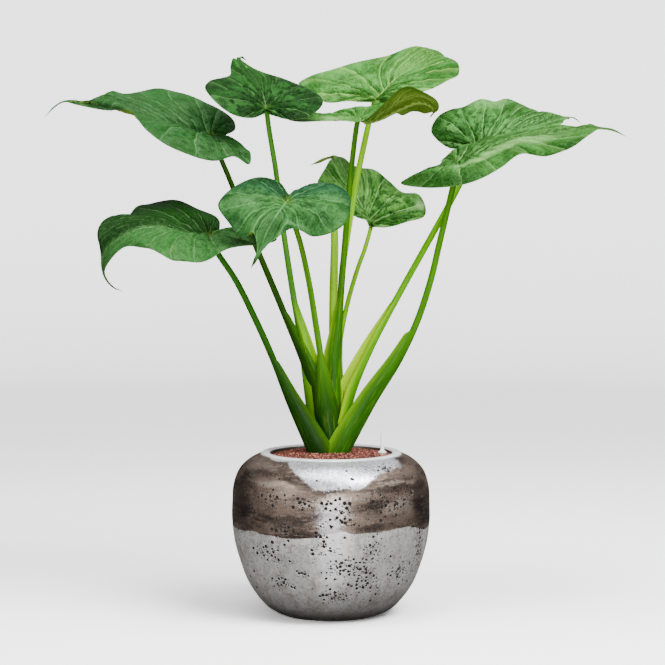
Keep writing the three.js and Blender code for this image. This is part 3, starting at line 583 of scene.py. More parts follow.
# %% [markdown]
# ## Blades
# A blade starts as one flat grid. Its columns run from the midrib out to the two edges and its rows from
# the notch to the drip tip, so the grid's own rows and columns already say where each vein is. Every vertex
# then moves to its place on the leaf. A Solidify modifier gives the thickness, with a vertex group that
# makes the midrib stand out below and the margin thin.

# %% The form of half a blade
STATIONS = 144  # rows from the notch to the tip
COLUMNS = 26  # columns from the midrib to each edge
LOBE_SHARE = 0.3  # share of the edge whose veins start at the joint
VEINS = 9  # main veins that reach each edge
VEIN_LEAN = 0.72  # how far a vein leans forward where it leaves the midrib
PANEL_LIFT = 5.0  # millimetres by which the skin stands up between two veins
SMALL_BLADE = 60  # a row shorter than this has less lift
OFF_NOTCH = 18  # one over the share of the edge in which the form grows out of the notch
TIP_STEPS = 2  # points added to each edge beside the drip tip
TIP_HALF_WIDTH = 5.2
TIP_NARROWING = 0.22


def vein_start(share):
    """How far along the midrib the vein starts that ends at this share of the edge."""
    return float(np.clip((share - LOBE_SHARE) / (1 - LOBE_SHARE), 0, 1)) ** 1.15


def edge_points(leaf, side, rib):
    """The edge's points with a few more, which keep it close beside the midrib down to the drip tip."""
    given = [Vector(leaf["sinus"]), *map(Vector, leaf[side])]
    total = len(given) + TIP_STEPS
    widthways = given[-1] - rib(vein_start((len(given) - 1) / total))
    points = list(given)
    for k in range(1, TIP_STEPS + 1):
        where = vein_start((len(given) - 1 + k) / total)
        along = heading(rib, where)
        across = (widthways - along * widthways.dot(along)).normalized()
        points.append(rib(where) + across * TIP_HALF_WIDTH * (1 - TIP_NARROWING * k))
    return [*points, rib(1.0)]


def half_blade(leaf, side):
    """Places and vein measures of the grid's vertices on one side, as arrays of rows by columns."""
    rib = smooth_path([(0, 0, 0), *leaf["midrib"]])
    edge = smooth_path(edge_points(leaf, side, rib))
    handed = 1 if side == "left" else -1
    shares = np.linspace(0, 1, STATIONS + 1)
    t = np.linspace(0, 1, COLUMNS + 1) ** 1.2
    start = np.array([rib(vein_start(s)) for s in shares])
    across = np.array([edge(s) for s in shares]) - start
    rib_way = np.array([heading(rib, vein_start(s)) for s in shares])
    edge_way = np.array([heading(edge, s) for s in shares])
    up = handed * np.cross(edge_way + 0.6 * rib_way, across)
    up /= np.maximum(np.linalg.norm(up, axis=1, keepdims=True), 1e-9)
    length = np.linalg.norm(across, axis=1)
    grown = np.clip(shares * OFF_NOTCH, 0, 1)
    arch = read_along(leaf.get(f"arch_{side}", leaf["arch"]), shares) * length * grown
    flat = start[:, None] + across[:, None] * t[None, :, None]
    lift = 4 * t * (1 - t) * arch[:, None]
    places = flat + up[:, None] * lift[..., None]
    beyond = np.maximum(shares - LOBE_SHARE, 0)[:, None] / (1 - VEIN_LEAN * (1 - t[None]) ** 1.5)
    count = VEINS * (np.minimum(shares, LOBE_SHARE)[:, None] + beyond)
    turn = np.cross(across, rib_way)
    facing = (across * rib_way).sum(1) > 0
    off_rib = np.where(facing, np.linalg.norm(turn, axis=1), length)
    edge_off = np.linalg.norm(np.cross(across, edge_way), axis=1)
    span = vein_span(places, count, t, shares)
    stand = PANEL_LIFT * np.clip(length / SMALL_BLADE, 0, 1)[:, None] * np.abs(np.sin(np.pi * count))
    stand = stand * np.sin(np.pi * np.sqrt(t)) * grown[:, None]
    places = places + up[:, None] * stand[..., None]
    return dict(places=places, up=up, t=t, count=count, span=span, rib=off_rib[:, None] * t[None],
                edge=edge_off[:, None] * (1 - t[None]), length=length, shares=shares)


def vein_span(places, count, t, shares):
    """Millimetres between two main veins, from how fast their count changes over the surface."""
    along_t, along_s = np.gradient(places, t, axis=1), np.gradient(places, shares, axis=0)
    count_t, count_s = np.gradient(count, t, axis=1), np.gradient(count, shares, axis=0)
    tt, ts, ss = ((a * b).sum(-1) for a, b in ((along_t, along_t), (along_t, along_s), (along_s, along_s)))
    area = np.maximum(tt * ss - ts**2, 1e-6)
    steepness = (ss * count_t**2 - 2 * ts * count_t * count_s + tt * count_s**2) / area
    return np.clip(1 / np.sqrt(np.maximum(steepness, 1e-6)), 0.3, 40)


sample = half_blade(LEAVES["front"], "left")
print("veins on the front leaf are up to", round(float(sample["span"].max()), 1), "mm apart")

# %% [markdown]
# The veins lie in shallow furrows and the skin between them stands up in small cushions. That relief is
# large enough to catch light on its own, so it is in the mesh and not only in the shading. It fades at the
# edge, because a blade's outline is smooth.


# %% Relief and thickness at one vertex
SAME_PLACE = 2e-6  # vertices closer than this, in metres, become one
THICKEST = 6  # millimetres of thickness where the vertex group's weight is 1
EDGE_BAND, RIB_BAND = 14, 6  # millimetres beside the edge and the midrib where the skin lies flat
WAVE_HEIGHT, WAVE_BAND = 12, 34  # millimetres that the edge swings, and how far in it does
WAVES = 7.5  # how often it swings from the notch to the tip
MARGIN_THICKNESS, SKIN_THICKNESS = 0.55, 0.95
RIB_GIRTH = (3.4, 1.7)  # the midrib's half width at the joint and at the tip


def lift_at(half, row, spot, place, joint, own_wave):
    """How far a place stands out, how crumpled it is, and how far it is from the edge, as a share."""
    share, from_edge, from_rib = half["shares"][row], half["edge"][spot], half["rib"][spot]
    off_edge, off_rib = float(smooth(0, EDGE_BAND, from_edge)), float(smooth(0, RIB_BAND, from_rib))
    crumple = noise.noise((place + joint) * 0.06) + 0.55 * noise.noise((place + joint) * 0.15)
    wave = noise.noise(Vector((share * WAVES, own_wave, 0.5)))
    wave *= (float(smooth(WAVE_BAND, 0, from_edge)) * float(smooth(0, 0.08, share))
             * float(smooth(1, 0.93, share)))
    wave *= float(smooth(0, 2 * RIB_BAND, from_rib))
    quilt = 1.9 + 2.0 * math.exp(-((place.length / 95) ** 2))
    off_seam = float(smooth(0, 0.05, share))
    return crumple * quilt * off_edge * off_rib * off_seam + wave * WAVE_HEIGHT, crumple, off_edge


def thickness(half, row, spot, from_joint, off_edge):
    """The vertex group's weight, from the skin, the nearest vein and the midrib together."""
    to_vein = 0.5 - abs(half["count"][spot] % 1 - 0.5)
    vein = math.exp(-((to_vein * half["span"][spot] / 1.4) ** 2)) * (1 - half["t"][spot[1]])
    girth = mix(*RIB_GIRTH, vein_start(row / STATIONS))
    rib = math.exp(-((half["rib"][spot] / girth) ** 2)) * girth * 1.3 * float(smooth(3, 18, from_joint))
    off_seam = float(smooth(0, 0.05, half["shares"][row]))
    skin = mix(MARGIN_THICKNESS, SKIN_THICKNESS, off_edge) + 0.7 * vein * off_seam
    return min(min(skin + rib, 0.5 + 0.3 * half["length"][row]) / THICKEST, 1)


print("the midrib's girth half way:", round(mix(*RIB_GIRTH, 0.5), 2), "mm")


# %% Place a blade's vertices
def map_veins(bm, where, halves):
    """Writes the two maps that the vein group reads."""
    veins, spans = bm.loops.layers.uv.new("veins"), bm.loops.layers.uv.new("spans")
    for face in bm.faces:
        half = halves["left" if sum(where[v][0] for v in face.verts) < 0 else "right"]
        for loop in face.loops:
            column, row = where[loop.vert]
            spot = (row, abs(column))
            loop[veins].uv = (half["rib"][spot], half["count"][spot])
            loop[spans].uv = (half["span"][spot], half["edge"][spot])
        face.smooth = True


def place_blade(bm, leaf, own, spots):
    """Moves a flat grid's vertices onto the leaf and writes what its finish needs to know."""
    halves = {side: half_blade(leaf, side) for side in ("left", "right")}
    for layer in ("near_joint", "far_half", "hollow", "to_tip", "shaded"):
        bm.verts.layers.float.new(layer)
    layers = bm.verts.layers.float
    near_joint, far_half, hollow = layers["near_joint"], layers["far_half"], layers["hollow"]
    to_tip, shaded = layers["to_tip"], layers["shaded"]
    thick = bm.verts.layers.deform.verify()
    joint = Vector(leaf["joint"])
    flat = grid_places(bm, 2 * COLUMNS, STATIONS)
    where = {vert: (column - COLUMNS, row) for vert, (column, row) in flat.items()}
    map_veins(bm, where, halves)
    for vert, (column, row) in where.items():
        side = "left" if column < 0 else "right"
        half, spot = halves[side], (row, abs(column))
        place, share, t = Vector(half["places"][spot]), half["shares"][row], half["t"][abs(column)]
        lift, crumple, off_edge = lift_at(half, row, spot, place, joint, own * 3.7 + (column < 0))
        place += Vector(half["up"][row]) * lift
        # hollow: where the crumpled skin sinks, which the upper side darkens as painted shade
        vert[hollow] = float(smooth(0.12, -0.55, crumple)) * off_edge
        vert[to_tip] = float(smooth(0.68, 0.9, vein_start(share)))
        vert[shaded] = sum(amount * math.exp(-(((share - s) / wide) ** 2) - ((t - o) / high) ** 2)
                           for s, o, wide, high, amount in spots.get(side, ()))
        vert[thick][0] = thickness(half, row, spot, place.length, off_edge)
        vert[near_joint] = math.exp(-((place.length / 75) ** 2))
        vert[far_half] = float(smooth(-2, 8, half["rib"][spot] if column > 0 else 0))
        vert.co = (place + joint) * MM
    bmesh.ops.remove_doubles(bm, verts=bm.verts, dist=SAME_PLACE)


print("a blade's grid has", (2 * COLUMNS + 1) * (STATIONS + 1), "vertices")

# %% [markdown]
# Light falls on each leaf in its own way, and a few soft spots for each leaf paint it on as painted shade and
# painted highlight. Each says where: a share of the edge from notch to tip, a share of the way out to it, the
# spot's two sizes, and how much darker it is, or lighter, a painted highlight, with a minus.

# %% Darker and lighter places
SHADED = {
    "low_left": dict(
        left=[(0.06, 0.5, 0.08, 0.5, 0.4)],
        right=[(0.3, 0.6, 0.3, 0.6, 0.7), (0.2, 0.75, 0.14, 0.3, 0.4)],
    ),
    "right_front": dict(
        left=[(0.1, 0.5, 0.1, 0.4, 0.6), (0.3, 0.3, 0.05, 0.2, 0.6)],
        right=[(0.2, 0.8, 0.16, 0.3, 0.75), (0.34, 0.95, 0.14, 0.2, 0.6), (0.12, 0.3, 0.12, 0.25, 0.7),
               (0.3, 0.3, 0.05, 0.16, 0.8), (0.7, 0.95, 0.07, 0.2, 1.0), (0.3, 0.55, 0.25, 0.1, -0.6),
               (0.55, 0.4, 0.12, 0.25, -0.5)],
    ),
    "front": dict(
        left=[(0.1, 0.7, 0.12, 0.3, 0.8), (0.45, 0.4, 0.04, 0.2, 0.7), (0.52, 0.5, 0.05, 0.3, -0.4)],
        right=[(0.1, 0.7, 0.12, 0.3, 0.8), (0.2, 0.85, 0.08, 0.2, 0.7), (0.38, 0.6, 0.08, 0.3, -0.3)],
    ),
    "upper_left": dict(
        left=[(0.08, 0.7, 0.08, 0.4, 0.6)],
        right=[(0.16, 0.45, 0.05, 0.3, 0.45), (0.08, 0.3, 0.05, 0.25, 0.4), (0.4, 0.72, 0.04, 0.12, 0.9),
               (0.28, 0.7, 0.04, 0.12, 0.7), (0.3, 0.3, 0.04, 0.16, 0.6)],
    ),
    "right_back": dict(
        left=[(0.17, 1.0, 0.1, 0.24, 1.4), (0.26, 0.45, 0.08, 0.2, 0.7), (0.42, 0.4, 0.05, 0.2, 0.6),
              (0.5, 0.9, 0.1, 0.2, -0.3)],
    ),
    "top_left": dict(
        left=[(0.08, 0.8, 0.07, 0.25, 1.0), (0.3, 0.5, 0.06, 0.2, 0.5)],
        right=[(0.14, 0.85, 0.12, 0.3, 1.2), (0.45, 0.8, 0.05, 0.12, 0.8), (0.28, 0.3, 0.06, 0.2, 0.5),
               (0.34, 0.85, 0.04, 0.14, 0.9)],
    ),
    "top_right": dict(
        left=[(0.5, 0.35, 0.09, 0.2, 0.5), (0.2, 0.6, 0.04, 0.2, 0.7), (0.32, 0.55, 0.05, 0.2, 0.6)],
        right=[(0.4, 0.4, 0.05, 0.2, 0.4), (0.1, 0.5, 0.07, 0.4, 0.6)],
    ),
    "middle": dict(
        left=[(0.2, 0.5, 0.06, 0.3, 0.5)],
        right=[(0.26, 0.55, 0.08, 0.3, 0.9), (0.4, 0.3, 0.05, 0.2, 0.7), (0.32, 0.9, 0.05, 0.12, -0.5),
               (0.5, 0.7, 0.06, 0.16, 0.6)],
    ),
    "top_low": dict(
        right=[(0.69, 0.85, 0.12, 0.25, 0.8), (0.48, 0.3, 0.06, 0.3, 0.8), (0.42, 0.1, 0.05, 0.3, 0.6),
               (0.3, 0.6, 0.1, 0.3, -0.4)],
    ),
}
print("soft spots:", sum(len(spots) for sides in SHADED.values() for spots in sides.values()))


# %% Make a blade
def make_blade(name, leaf, finishes):
    bm = bmesh.new()
    bmesh.ops.create_grid(bm, x_segments=2 * COLUMNS, y_segments=STATIONS, size=1)
    place_blade(bm, leaf, list(LEAVES).index(name), SHADED[name])
    blade = finished_piece(bm, f"leaf_{name}", finishes)
    blade.vertex_groups.new(name="thickness")
    solid = blade.modifiers.new("thickness", "SOLIDIFY")
    solid.thickness = THICKEST * MM
    solid.offset = -1
    solid.vertex_group = "thickness"
    solid.material_offset = 1
    solid.material_offset_rim = 2
    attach(blade, PLANT)
    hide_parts(f"blade_{name}")
    return blade


UNDERSIDE_SKIN, UNDERSIDE_VEIN = paint(92, 126, 30), paint(140, 170, 74)
# After the greens: painted shade in blots and folds near the joint, then on the far half (far, far_light).
GREENS = {
    "low_left": dict(deep=(43, 98, 41), fresh=(64, 116, 56), vein=(118, 156, 100),
                     blot_and_fold_shade=0.4, far=0.97, far_light=0.15),
    "right_front": dict(deep=(18, 68, 4), fresh=(60, 118, 46), vein=(136, 190, 108), blot_and_fold_shade=0.5, tip_dark=0.3),
    "front": dict(deep=(18, 60, 20), fresh=(60, 114, 54), vein=(102, 162, 94),
                  blot_and_fold_shade=0.3, lobe=(18, 62, 46), lobe_share=0.9),
    "upper_left": dict(deep=(31, 80, 31), fresh=(43, 81, 37), vein=(100, 142, 94), blot_and_fold_shade=0.55, tip_dark=0.4),
    "right_back": dict(deep=(26, 72, 14), fresh=(74, 136, 62), vein=(132, 192, 110), blot_and_fold_shade=0.7, tip_dark=0.5),
    "top_left": dict(deep=(5, 42, 4), fresh=(31, 84, 27), vein=(94, 142, 78), blot_and_fold_shade=0.75),
    "top_right": dict(deep=(30, 84, 24), fresh=(77, 144, 64), vein=(164, 216, 106), blot_and_fold_shade=0.4),
    "middle": dict(deep=(24, 88, 4), fresh=(104, 166, 72), vein=(176, 228, 146), blot_and_fold_shade=0.75, tip_dark=0.1),
    "top_low": dict(deep=(28, 90, 14), fresh=(72, 132, 54), vein=(136, 192, 104), blot_and_fold_shade=0.3, tip_dark=0.3),
}
for name, leaf in LEAVES.items():
    green = {key: paint(*value) if isinstance(value, tuple) else value for key, value in GREENS[name].items()}
    below = underside(f"underside_{name}", UNDERSIDE_SKIN, UNDERSIDE_VEIN, green.get("tip_dark", TIP_DARK))
    blade = make_blade(name, leaf, [upper_side(f"upper_{name}", **green), below, MARGIN])
    print(blade.name, len(blade.data.polygons), "faces")

# %% [markdown]
# ## Stalks
# Each stalk is round where it carries the blade and opens below into a sheath, like a stick of celery, that
# once wrapped the next leaf. One grid makes it: its columns run round the section and its rows up the path,
# and every row's section is worked out from how far the sheath stands open there.

# %% The stalk's section and path
GRANULATE_LEVEL = 272  # where the granulate meets the planter's mouth
SINK_DEPTH = 15  # how far the stalks go on below it
SHEATH_EDGE, SHEATH_BACK = 1.6, 8.0  # the sheath's wall at its wings and along its back
AROUND, STALK_ROWS = 48, 120  # the grid's columns and rows


def section_point(q, radius, openness, depth, half_width):
    """A place on the section: q runs round it from 0 to 12, up to 7 on the back and from 8 to 11 inside."""
    if 7 < q < 8 or q > 11:
        low, high, share = (7, 8, q - 7) if q < 8 else (11, 12, q - 11)
        a = section_point(low, radius, openness, depth, half_width)
        b = section_point(high % 12, radius, openness, depth, half_width)
        bulge = 0.8 * openness * math.sin(math.pi * share)
        sideways = 1 if q < 8 else -1
        return mix(a[0], b[0], share), mix(a[1], b[1], share) + bulge * sideways
    fold = mix(radius * 2, depth, openness) / 1.17
    wing = mix(radius, half_width, openness)
    back = q <= 7
    spread = math.radians(-100 + 200 / 7 * q if back else 97 - 194 / 3 * (q - 8))
    wall = 0 if back else mix(SHEATH_EDGE, SHEATH_BACK, math.cos(spread) ** 2)
    sheath = (radius - fold + (fold - wall) * math.cos(spread), (wing - wall * 0.8) * math.sin(spread))
    turn = math.radians(-105 + 30 * q)
    stalk = (radius * math.cos(turn), radius * math.sin(turn))
    return mix(stalk[0], sheath[0], openness), mix(stalk[1], sheath[1], openness)


def stalk_path(leaf):
    first, second = Vector(leaf["path"][0]), Vector(leaf["path"][1])
    down = first - second
    foot = first + down * ((GRANULATE_LEVEL - SINK_DEPTH - first.z) / down.z)
    last, joint = Vector(leaf["path"][-1]), Vector(leaf["joint"])
    end = joint + (joint - last).normalized() * 3
    return by_length(smooth_path([foot, *leaf["path"], end]))


def share_at(path, height):
    """The share of a path's length at which it reaches a height."""
    low, high = 0.0, 1.0
    for _ in range(24):
        middle = (low + high) / 2
        low, high = (middle, high) if path(middle).z < height else (low, middle)
    return low


def blade_plane(leaf):
    """The blade's own direction at the joint, pointing out of its upper side."""
    rib = heading(smooth_path([(0, 0, 0), *leaf["midrib"]]), 0.0)
    left, right = Vector(leaf["left"][2]), Vector(leaf["right"][2])
    facing = rib.cross(left - right)
    return facing.normalized() * (1 if facing.dot(Vector((0, 0, 1))) > 0 else -1)


print("the front leaf's blade faces", tuple(round(v, 2) for v in blade_plane(LEAVES["front"])))


# %% Make a stalk
def place_stalk(bm, leaf):
    """Moves a flat grid's vertices onto the stalk and notes where its thin edges and its inside are."""
    path = stalk_path(leaf)
    turn = math.radians(leaf["outward"])
    outward = Vector((math.cos(turn), math.sin(turn), 0))
    notch = share_at(path, leaf["sheath"][0])
    top, full = leaf["sheath"]
    skin = bm.loops.layers.uv.new("skin")
    wing, inside = bm.verts.layers.float.new("wing"), bm.verts.layers.float.new("inside")
    half = STALK_ROWS // 2
    shares = [notch * i / half for i in range(half)]
    shares += [mix(notch, 1.0, i / half) for i in range(half + 1)]
    where = grid_places(bm, AROUND, STALK_ROWS)
    length = (Vector(leaf["joint"]) - path(0)).length
    for face in bm.faces:
        for loop in face.loops:
            column, row = where[loop.vert]
            loop[skin].uv = (column / AROUND * 60, shares[row] * length)
        face.smooth = True
    for vert, (column, row) in where.items():
        share = shares[row]
        centre = path(share)
        along = (path(min(share + 0.004, 1)) - path(max(share - 0.004, 0))).normalized()
        out = (outward - along * outward.dot(along)).normalized()
        side = along.cross(out)
        below = min(max((top - centre.z) / (top - full), 0), 1)
        openness = mix(leaf["step"], 1, below**0.6) * float(smooth(notch + 0.01, notch - 0.004, share))
        q = 12 * (column % AROUND) / AROUND
        o, s = section_point(q, mix(*leaf["radius"], share), openness, leaf["depth"], leaf["width"])
        vert.co = (centre + out * o + side * s) * MM
        to_wing = min(abs(q - 7.5), abs(q - 11.5), abs(q + 0.5))
        vert[wing] = openness * math.exp(-((to_wing / 0.9) ** 2))
        vert[inside] = openness * float(smooth(7.3, 8.2, q)) * float(smooth(11.7, 10.8, q))
    bmesh.ops.remove_doubles(bm, verts=bm.verts, dist=SAME_PLACE)


STEEPEST_CUT = 0.35  # a stalk that runs along its blade is cut no more slantwise than this


def finish_stalk_end(bm, leaf):
    """Cuts the stalk flush under the blade and closes its two ends."""
    joint = Vector(leaf["joint"]) * MM
    facing, along = blade_plane(leaf), (joint - Vector(leaf["path"][-1]) * MM).normalized()
    facing = (facing + along * max(STEEPEST_CUT - facing.dot(along), 0)).normalized()
    near = [v for v in bm.verts if (v.co - joint).length < 0.05]
    edges, faces = {e for v in near for e in v.link_edges}, {f for v in near for f in v.link_faces}
    region = near + list(edges) + list(faces)
    bmesh.ops.bisect_plane(bm, geom=region, dist=1e-7, plane_co=joint - facing * 0.4 * MM, plane_no=facing,
                           clear_outer=True)
    bmesh.ops.holes_fill(bm, edges=[e for e in bm.edges if e.is_boundary], sides=0)


def make_stalk(name, leaf, finish):
    bm = bmesh.new()
    bmesh.ops.create_grid(bm, x_segments=AROUND, y_segments=STALK_ROWS, size=1)
    place_stalk(bm, leaf)
    finish_stalk_end(bm, leaf)
    bmesh.ops.recalc_face_normals(bm, faces=bm.faces)
    stalk = finished_piece(bm, f"stalk_{name}", [finish])
    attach(stalk, PLANT)
    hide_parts(f"petiole_{name}")
    return stalk


print("a stalk's grid has", (AROUND + 1) * (STALK_ROWS + 1), "vertices")

# %% [markdown]
# A stalk's skin is waxy, with fine lines along it. The sheath's thin wings let light through, so they are
# the palest, the inside is yellower than the back, and the foot is darker than the top. The lines are noise
# on a map that runs up the stalk, pulled long.


# %% Stalk skin
def stalk_skin(name, foot, top, wing_colour, inner, low, high):
    material, tree, shader = new_material(name, IOR=1.4, Specular_IOR_Level=0.1)
    skin = add_node(tree, "UVMap", uv_map="skin").outputs[0]
    height = add_node(tree, "SeparateXYZ", {0: add_node(tree, "TexCoord").outputs["Object"]}).outputs[2]
    base = tint(tree, rise(tree, height, low * MM, high * MM), foot, top)
    lines = speckle(tree, 1.0, 3.0, 0.6, stretch=(0.55, 0.02, 1), vector=skin)
    broad = speckle(tree, 1.0, 2.0, 0.5, stretch=(0.14, 0.012, 1), vector=skin)
    dark = tint(tree, 1.0, base, (0.66, 0.74, 0.5, 1), mode="MULTIPLY")
    base = tint(tree, rise(tree, broad, 0.34, 0.62), dark, base)
    base = tint(tree, rise(tree, lines, 0.5, 0.75, 0.0, 0.22), base, wing_colour)
    base = tint(tree, reckon(tree, "MULTIPLY", measure(tree, "inside"), 0.8), base, inner)
    base = tint(tree, reckon(tree, "MULTIPLY", measure(tree, "wing"), 0.75), base, wing_colour)
    feed(tree, shader.inputs["Base Color"], base)
    bump = add_node(tree, "Bump", {"Strength": 0.35, "Distance": 0.0006, "Height": lines})
    feed(tree, shader.inputs["Normal"], bump.outputs[0])
    feed(tree, shader.inputs["Roughness"], reckon(tree, "MULTIPLY_ADD", broad, 0.25, 0.26))
    return material


# The foot's colour, the top's, the wings' and the inside's, and the heights between which foot turns to top.
PALE_WING = (160, 200, 66)
SKINS = {
    "low_left": ((14, 50, 1), (38, 98, 1), (80, 128, 8), (79, 118, 4), 330, 600),
    "right_front": ((36, 88, 1), (68, 129, 2), (136, 188, 12), (121, 172, 6), 330, 640),
    "front": ((16, 59, 1), (74, 128, 14), (125, 158, 51), (103, 134, 22), 330, 470),
    "upper_left": ((24, 58, 1), (38, 74, 1), (70, 128, 12), (56, 116, 6), 400, 600),
    "right_back": ((84, 157, 1), (106, 182, 2), (190, 222, 10), (182, 216, 4), 330, 600),
    "top_left": ((86, 152, 22), (71, 134, 38), (161, 208, 14), (140, 204, 8), 380, 600),
    "top_right": ((99, 165, 2), (140, 202, 11), PALE_WING, (170, 209, 8), 400, 700),
    "middle": ((110, 166, 1), (124, 180, 3), PALE_WING, (147, 188, 7), 400, 600),
    "top_low": ((39, 93, 1), (62, 118, 1), (176, 222, 6), (137, 187, 3), 400, 700),
}
for name, leaf in LEAVES.items():
    *colours, low, high = SKINS[name]
    stalk = make_stalk(name, leaf, stalk_skin(f"skin_{name}", *(paint(*c) for c in colours), low, high))
    print(stalk.name, len(stalk.data.polygons), "faces")

# %% [markdown]
# ## The rolled leaf
# The newest leaf still stands rolled up like a spear. Its free edge winds round it as a thin ridge, which
# the section's radius follows: it grows a little on the way round and falls back in one step at the edge.

# %% Make the rolled leaf
SPEAR_PATH = [(1, 4, 262), (3, 12, 367), (3, 16, 436), (4, 20, 540), (5, 20, 592), (6, 20, 643),
              (4, 20, 686), (0, 20, 743)]
SPEAR_RADIUS = (6, 6.5, 7, 7.2, 6.5, 0.6)


def make_rolled_leaf(finish):
    bm = bmesh.new()
    around, rows = 48, 110
    bmesh.ops.create_grid(bm, x_segments=around, y_segments=rows, size=1)
    skin = bm.loops.layers.uv.new("skin")
    wing = bm.verts.layers.float.new("wing")
    path = by_length(smooth_path(SPEAR_PATH))
    where = grid_places(bm, around, rows)
    for face in bm.faces:
        for loop in face.loops:
            column, row = where[loop.vert]
            loop[skin].uv = (column / around * 44, row / rows * 480)
        face.smooth = True
    for vert, (column, row) in where.items():
        share = row / rows
        centre, along = path(share), heading(path, min(share, 0.998))
        out = (Vector((0, -1, 0)) - along * Vector((0, -1, 0)).dot(along)).normalized()
        side = along.cross(out)
        turn = 2 * math.pi * (column % around) / around
        wound = ((column % around) / around + 0.35 - 0.9 * share) % 1
        radius = float(read_along(SPEAR_RADIUS, np.array(share))) * (0.93 + 0.11 * wound)
        vert.co = (centre + (out * math.cos(turn) + side * math.sin(turn)) * radius) * MM
        vert[wing] = math.exp(-(((1 - wound) / 0.08) ** 2))
    bmesh.ops.remove_doubles(bm, verts=bm.verts, dist=SAME_PLACE)
    bmesh.ops.holes_fill(bm, edges=[e for e in bm.edges if e.is_boundary], sides=0)
    bmesh.ops.recalc_face_normals(bm, faces=bm.faces)
    spear = finished_piece(bm, "rolled_leaf_skin", [finish])
    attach(spear, PLANT)
    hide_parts("rolled_leaf")
    return spear


rolled_skin = stalk_skin("skin_rolled", paint(104, 160, 4), paint(132, 184, 14), paint(204, 238, 84),
                         paint(150, 196, 24), 400, 640)
rolled = make_rolled_leaf(rolled_skin)
print(rolled.name, len(rolled.data.polygons), "faces")

# %% [markdown]
# ## The planter
# A cast metal globe, turned by eye and burnished by hand. Spinning its outline once round gives the form.
# The finish is a story of use: silver where the rim and shoulder are rubbed bright, a brown band that the
# polish never reached, with a wavy lower edge, and clusters of casting pits.

# %% The planter's outline
POT_RADIUS, POT_HEIGHT, POT_WALL, POT_FLOOR = 170.5, 280, 9, 10
POT_FOOT_RADIUS, MOUTH_RADIUS, RIM_RADIUS, INNER_LIP_DEPTH = 85, 104.5, 119, 14
SIDE_SHAPE = [(0.5, 0), (0.65, 0.05), (0.82, 0.18), (0.916, 0.318), (0.976, 0.452), (1, 0.587),
              (0.998, 0.69), (0.988, 0.795), (0.935, 0.888), (0.832, 0.952), (0.71, 0.99)]
side_path = smooth_path([(r * POT_RADIUS, 0, z * POT_HEIGHT) for r, z in SIDE_SHAPE])


def planter_side(inset, steps):
    """The planter's side, set back into the wall by inset."""
    points = []
    for i in range(steps + 1):
        place, way = side_path(i / steps), heading(side_path, i / steps)
        points.append((place.x - way.z * inset, place.z + way.x * inset))
    return points


def planter_outline():
    outside = planter_side(0, 96)
    outside[0] = (POT_FOOT_RADIUS, 0.0)
    rim = [(RIM_RADIUS + 1.2, POT_HEIGHT - 1.9), (RIM_RADIUS, POT_HEIGHT - 0.9),
           (RIM_RADIUS - 1.8, POT_HEIGHT - 0.3), (RIM_RADIUS - 4, POT_HEIGHT), (112, POT_HEIGHT - 0.6),
           (MOUTH_RADIUS + 2, POT_HEIGHT - 1.4), (MOUTH_RADIUS + 0.7, POT_HEIGHT - 2.2),
           (MOUTH_RADIUS, POT_HEIGHT - 3.5), (MOUTH_RADIUS, POT_HEIGHT - 8),
           (MOUTH_RADIUS, POT_HEIGHT - INNER_LIP_DEPTH)]
    inside = planter_side(POT_WALL, 20)[1:-1][::-1]
    floor = [(POT_FOOT_RADIUS - POT_WALL, POT_FLOOR), (40, POT_FLOOR), (0, POT_FLOOR)]
    under = [(0, 0), (42, 0), (76, 0)]
    return under + outside + rim + inside + floor


def spin_outline(name, outline, steps, centre=(0, 0), twist=None):
    """Turns an outline of radius and height, in millimetres, round an upright axis into a closed mesh."""
    bm = bmesh.new()
    verts = [bm.verts.new((centre[0] * MM + r * MM, centre[1] * MM, z * MM)) for r, z in outline]
    edges = [bm.edges.new(pair) for pair in zip(verts, verts[1:])]
    bmesh.ops.spin(bm, geom=verts + edges, cent=(centre[0] * MM, centre[1] * MM, 0), axis=(0, 0, 1),
                   angle=2 * math.pi, steps=steps, use_merge=True)
    bmesh.ops.remove_doubles(bm, verts=bm.verts, dist=SAME_PLACE)
    if twist:
        twist(bm)
    bmesh.ops.recalc_face_normals(bm, faces=bm.faces)
    for face in bm.faces:
        face.smooth = True
    return finished_piece(bm, name)


print("planter outline:", len(planter_outline()), "points")

# %% [markdown]
# Where the metal is bright, brown or pitted, and where a painted highlight and painted shade lie on it, is
# written on the planter's vertices, from a few named places given as an angle from the front, to the right,
# and a height. Noise in the shader then breaks up their soft edges.

# %% Where the finish changes
BAND_EDGE = [(-180, 156), (-150, 148), (-110, 163), (-69, 154), (-54, 155), (-28, 152), (-10, 155),
             (7, 166), (14, 159), (33, 164), (51, 164), (69, 153), (105, 160), (145, 150), (180, 156)]
SILVER_EDGE = [(-180, 246), (-165, 251), (-150, 263), (-136, 272), (-124, 284), (-36, 284), (-27, 268),
               (-22, 256), (-14, 246), (-8, 241), (2, 238), (10, 238), (17, 243), (22, 252), (30, 261),
               (44, 263), (54, 273), (62, 284), (132, 284), (144, 270), (156, 256), (168, 249), (180, 246)]
WORN_LIGHT = [(-38, 238, 13, 6), (44, 243, 15, 4), (-15, 212, 9, 9), (44, 204, 12, 13), (3, 205, 9, 30),
              (100, 236, 14, 5), (-95, 240, 15, 5), (150, 210, 14, 8), (-150, 214, 12, 8)]
# Dark patina, and painted shade at the sides: the tall spots at -62 and 64 degrees, away from the light.
DARK_PATINA_AND_SIDE_SHADE = [(-62, 200, 11, 36), (-50, 255, 14, 7), (62, 232, 12, 10), (-26, 182, 14, 8), (22, 171, 13, 8),
         (24, 232, 17, 5), (31, 205, 7, 14), (64, 196, 10, 30), (110, 200, 12, 26), (-115, 195, 16, 24),
         (165, 190, 16, 14)]
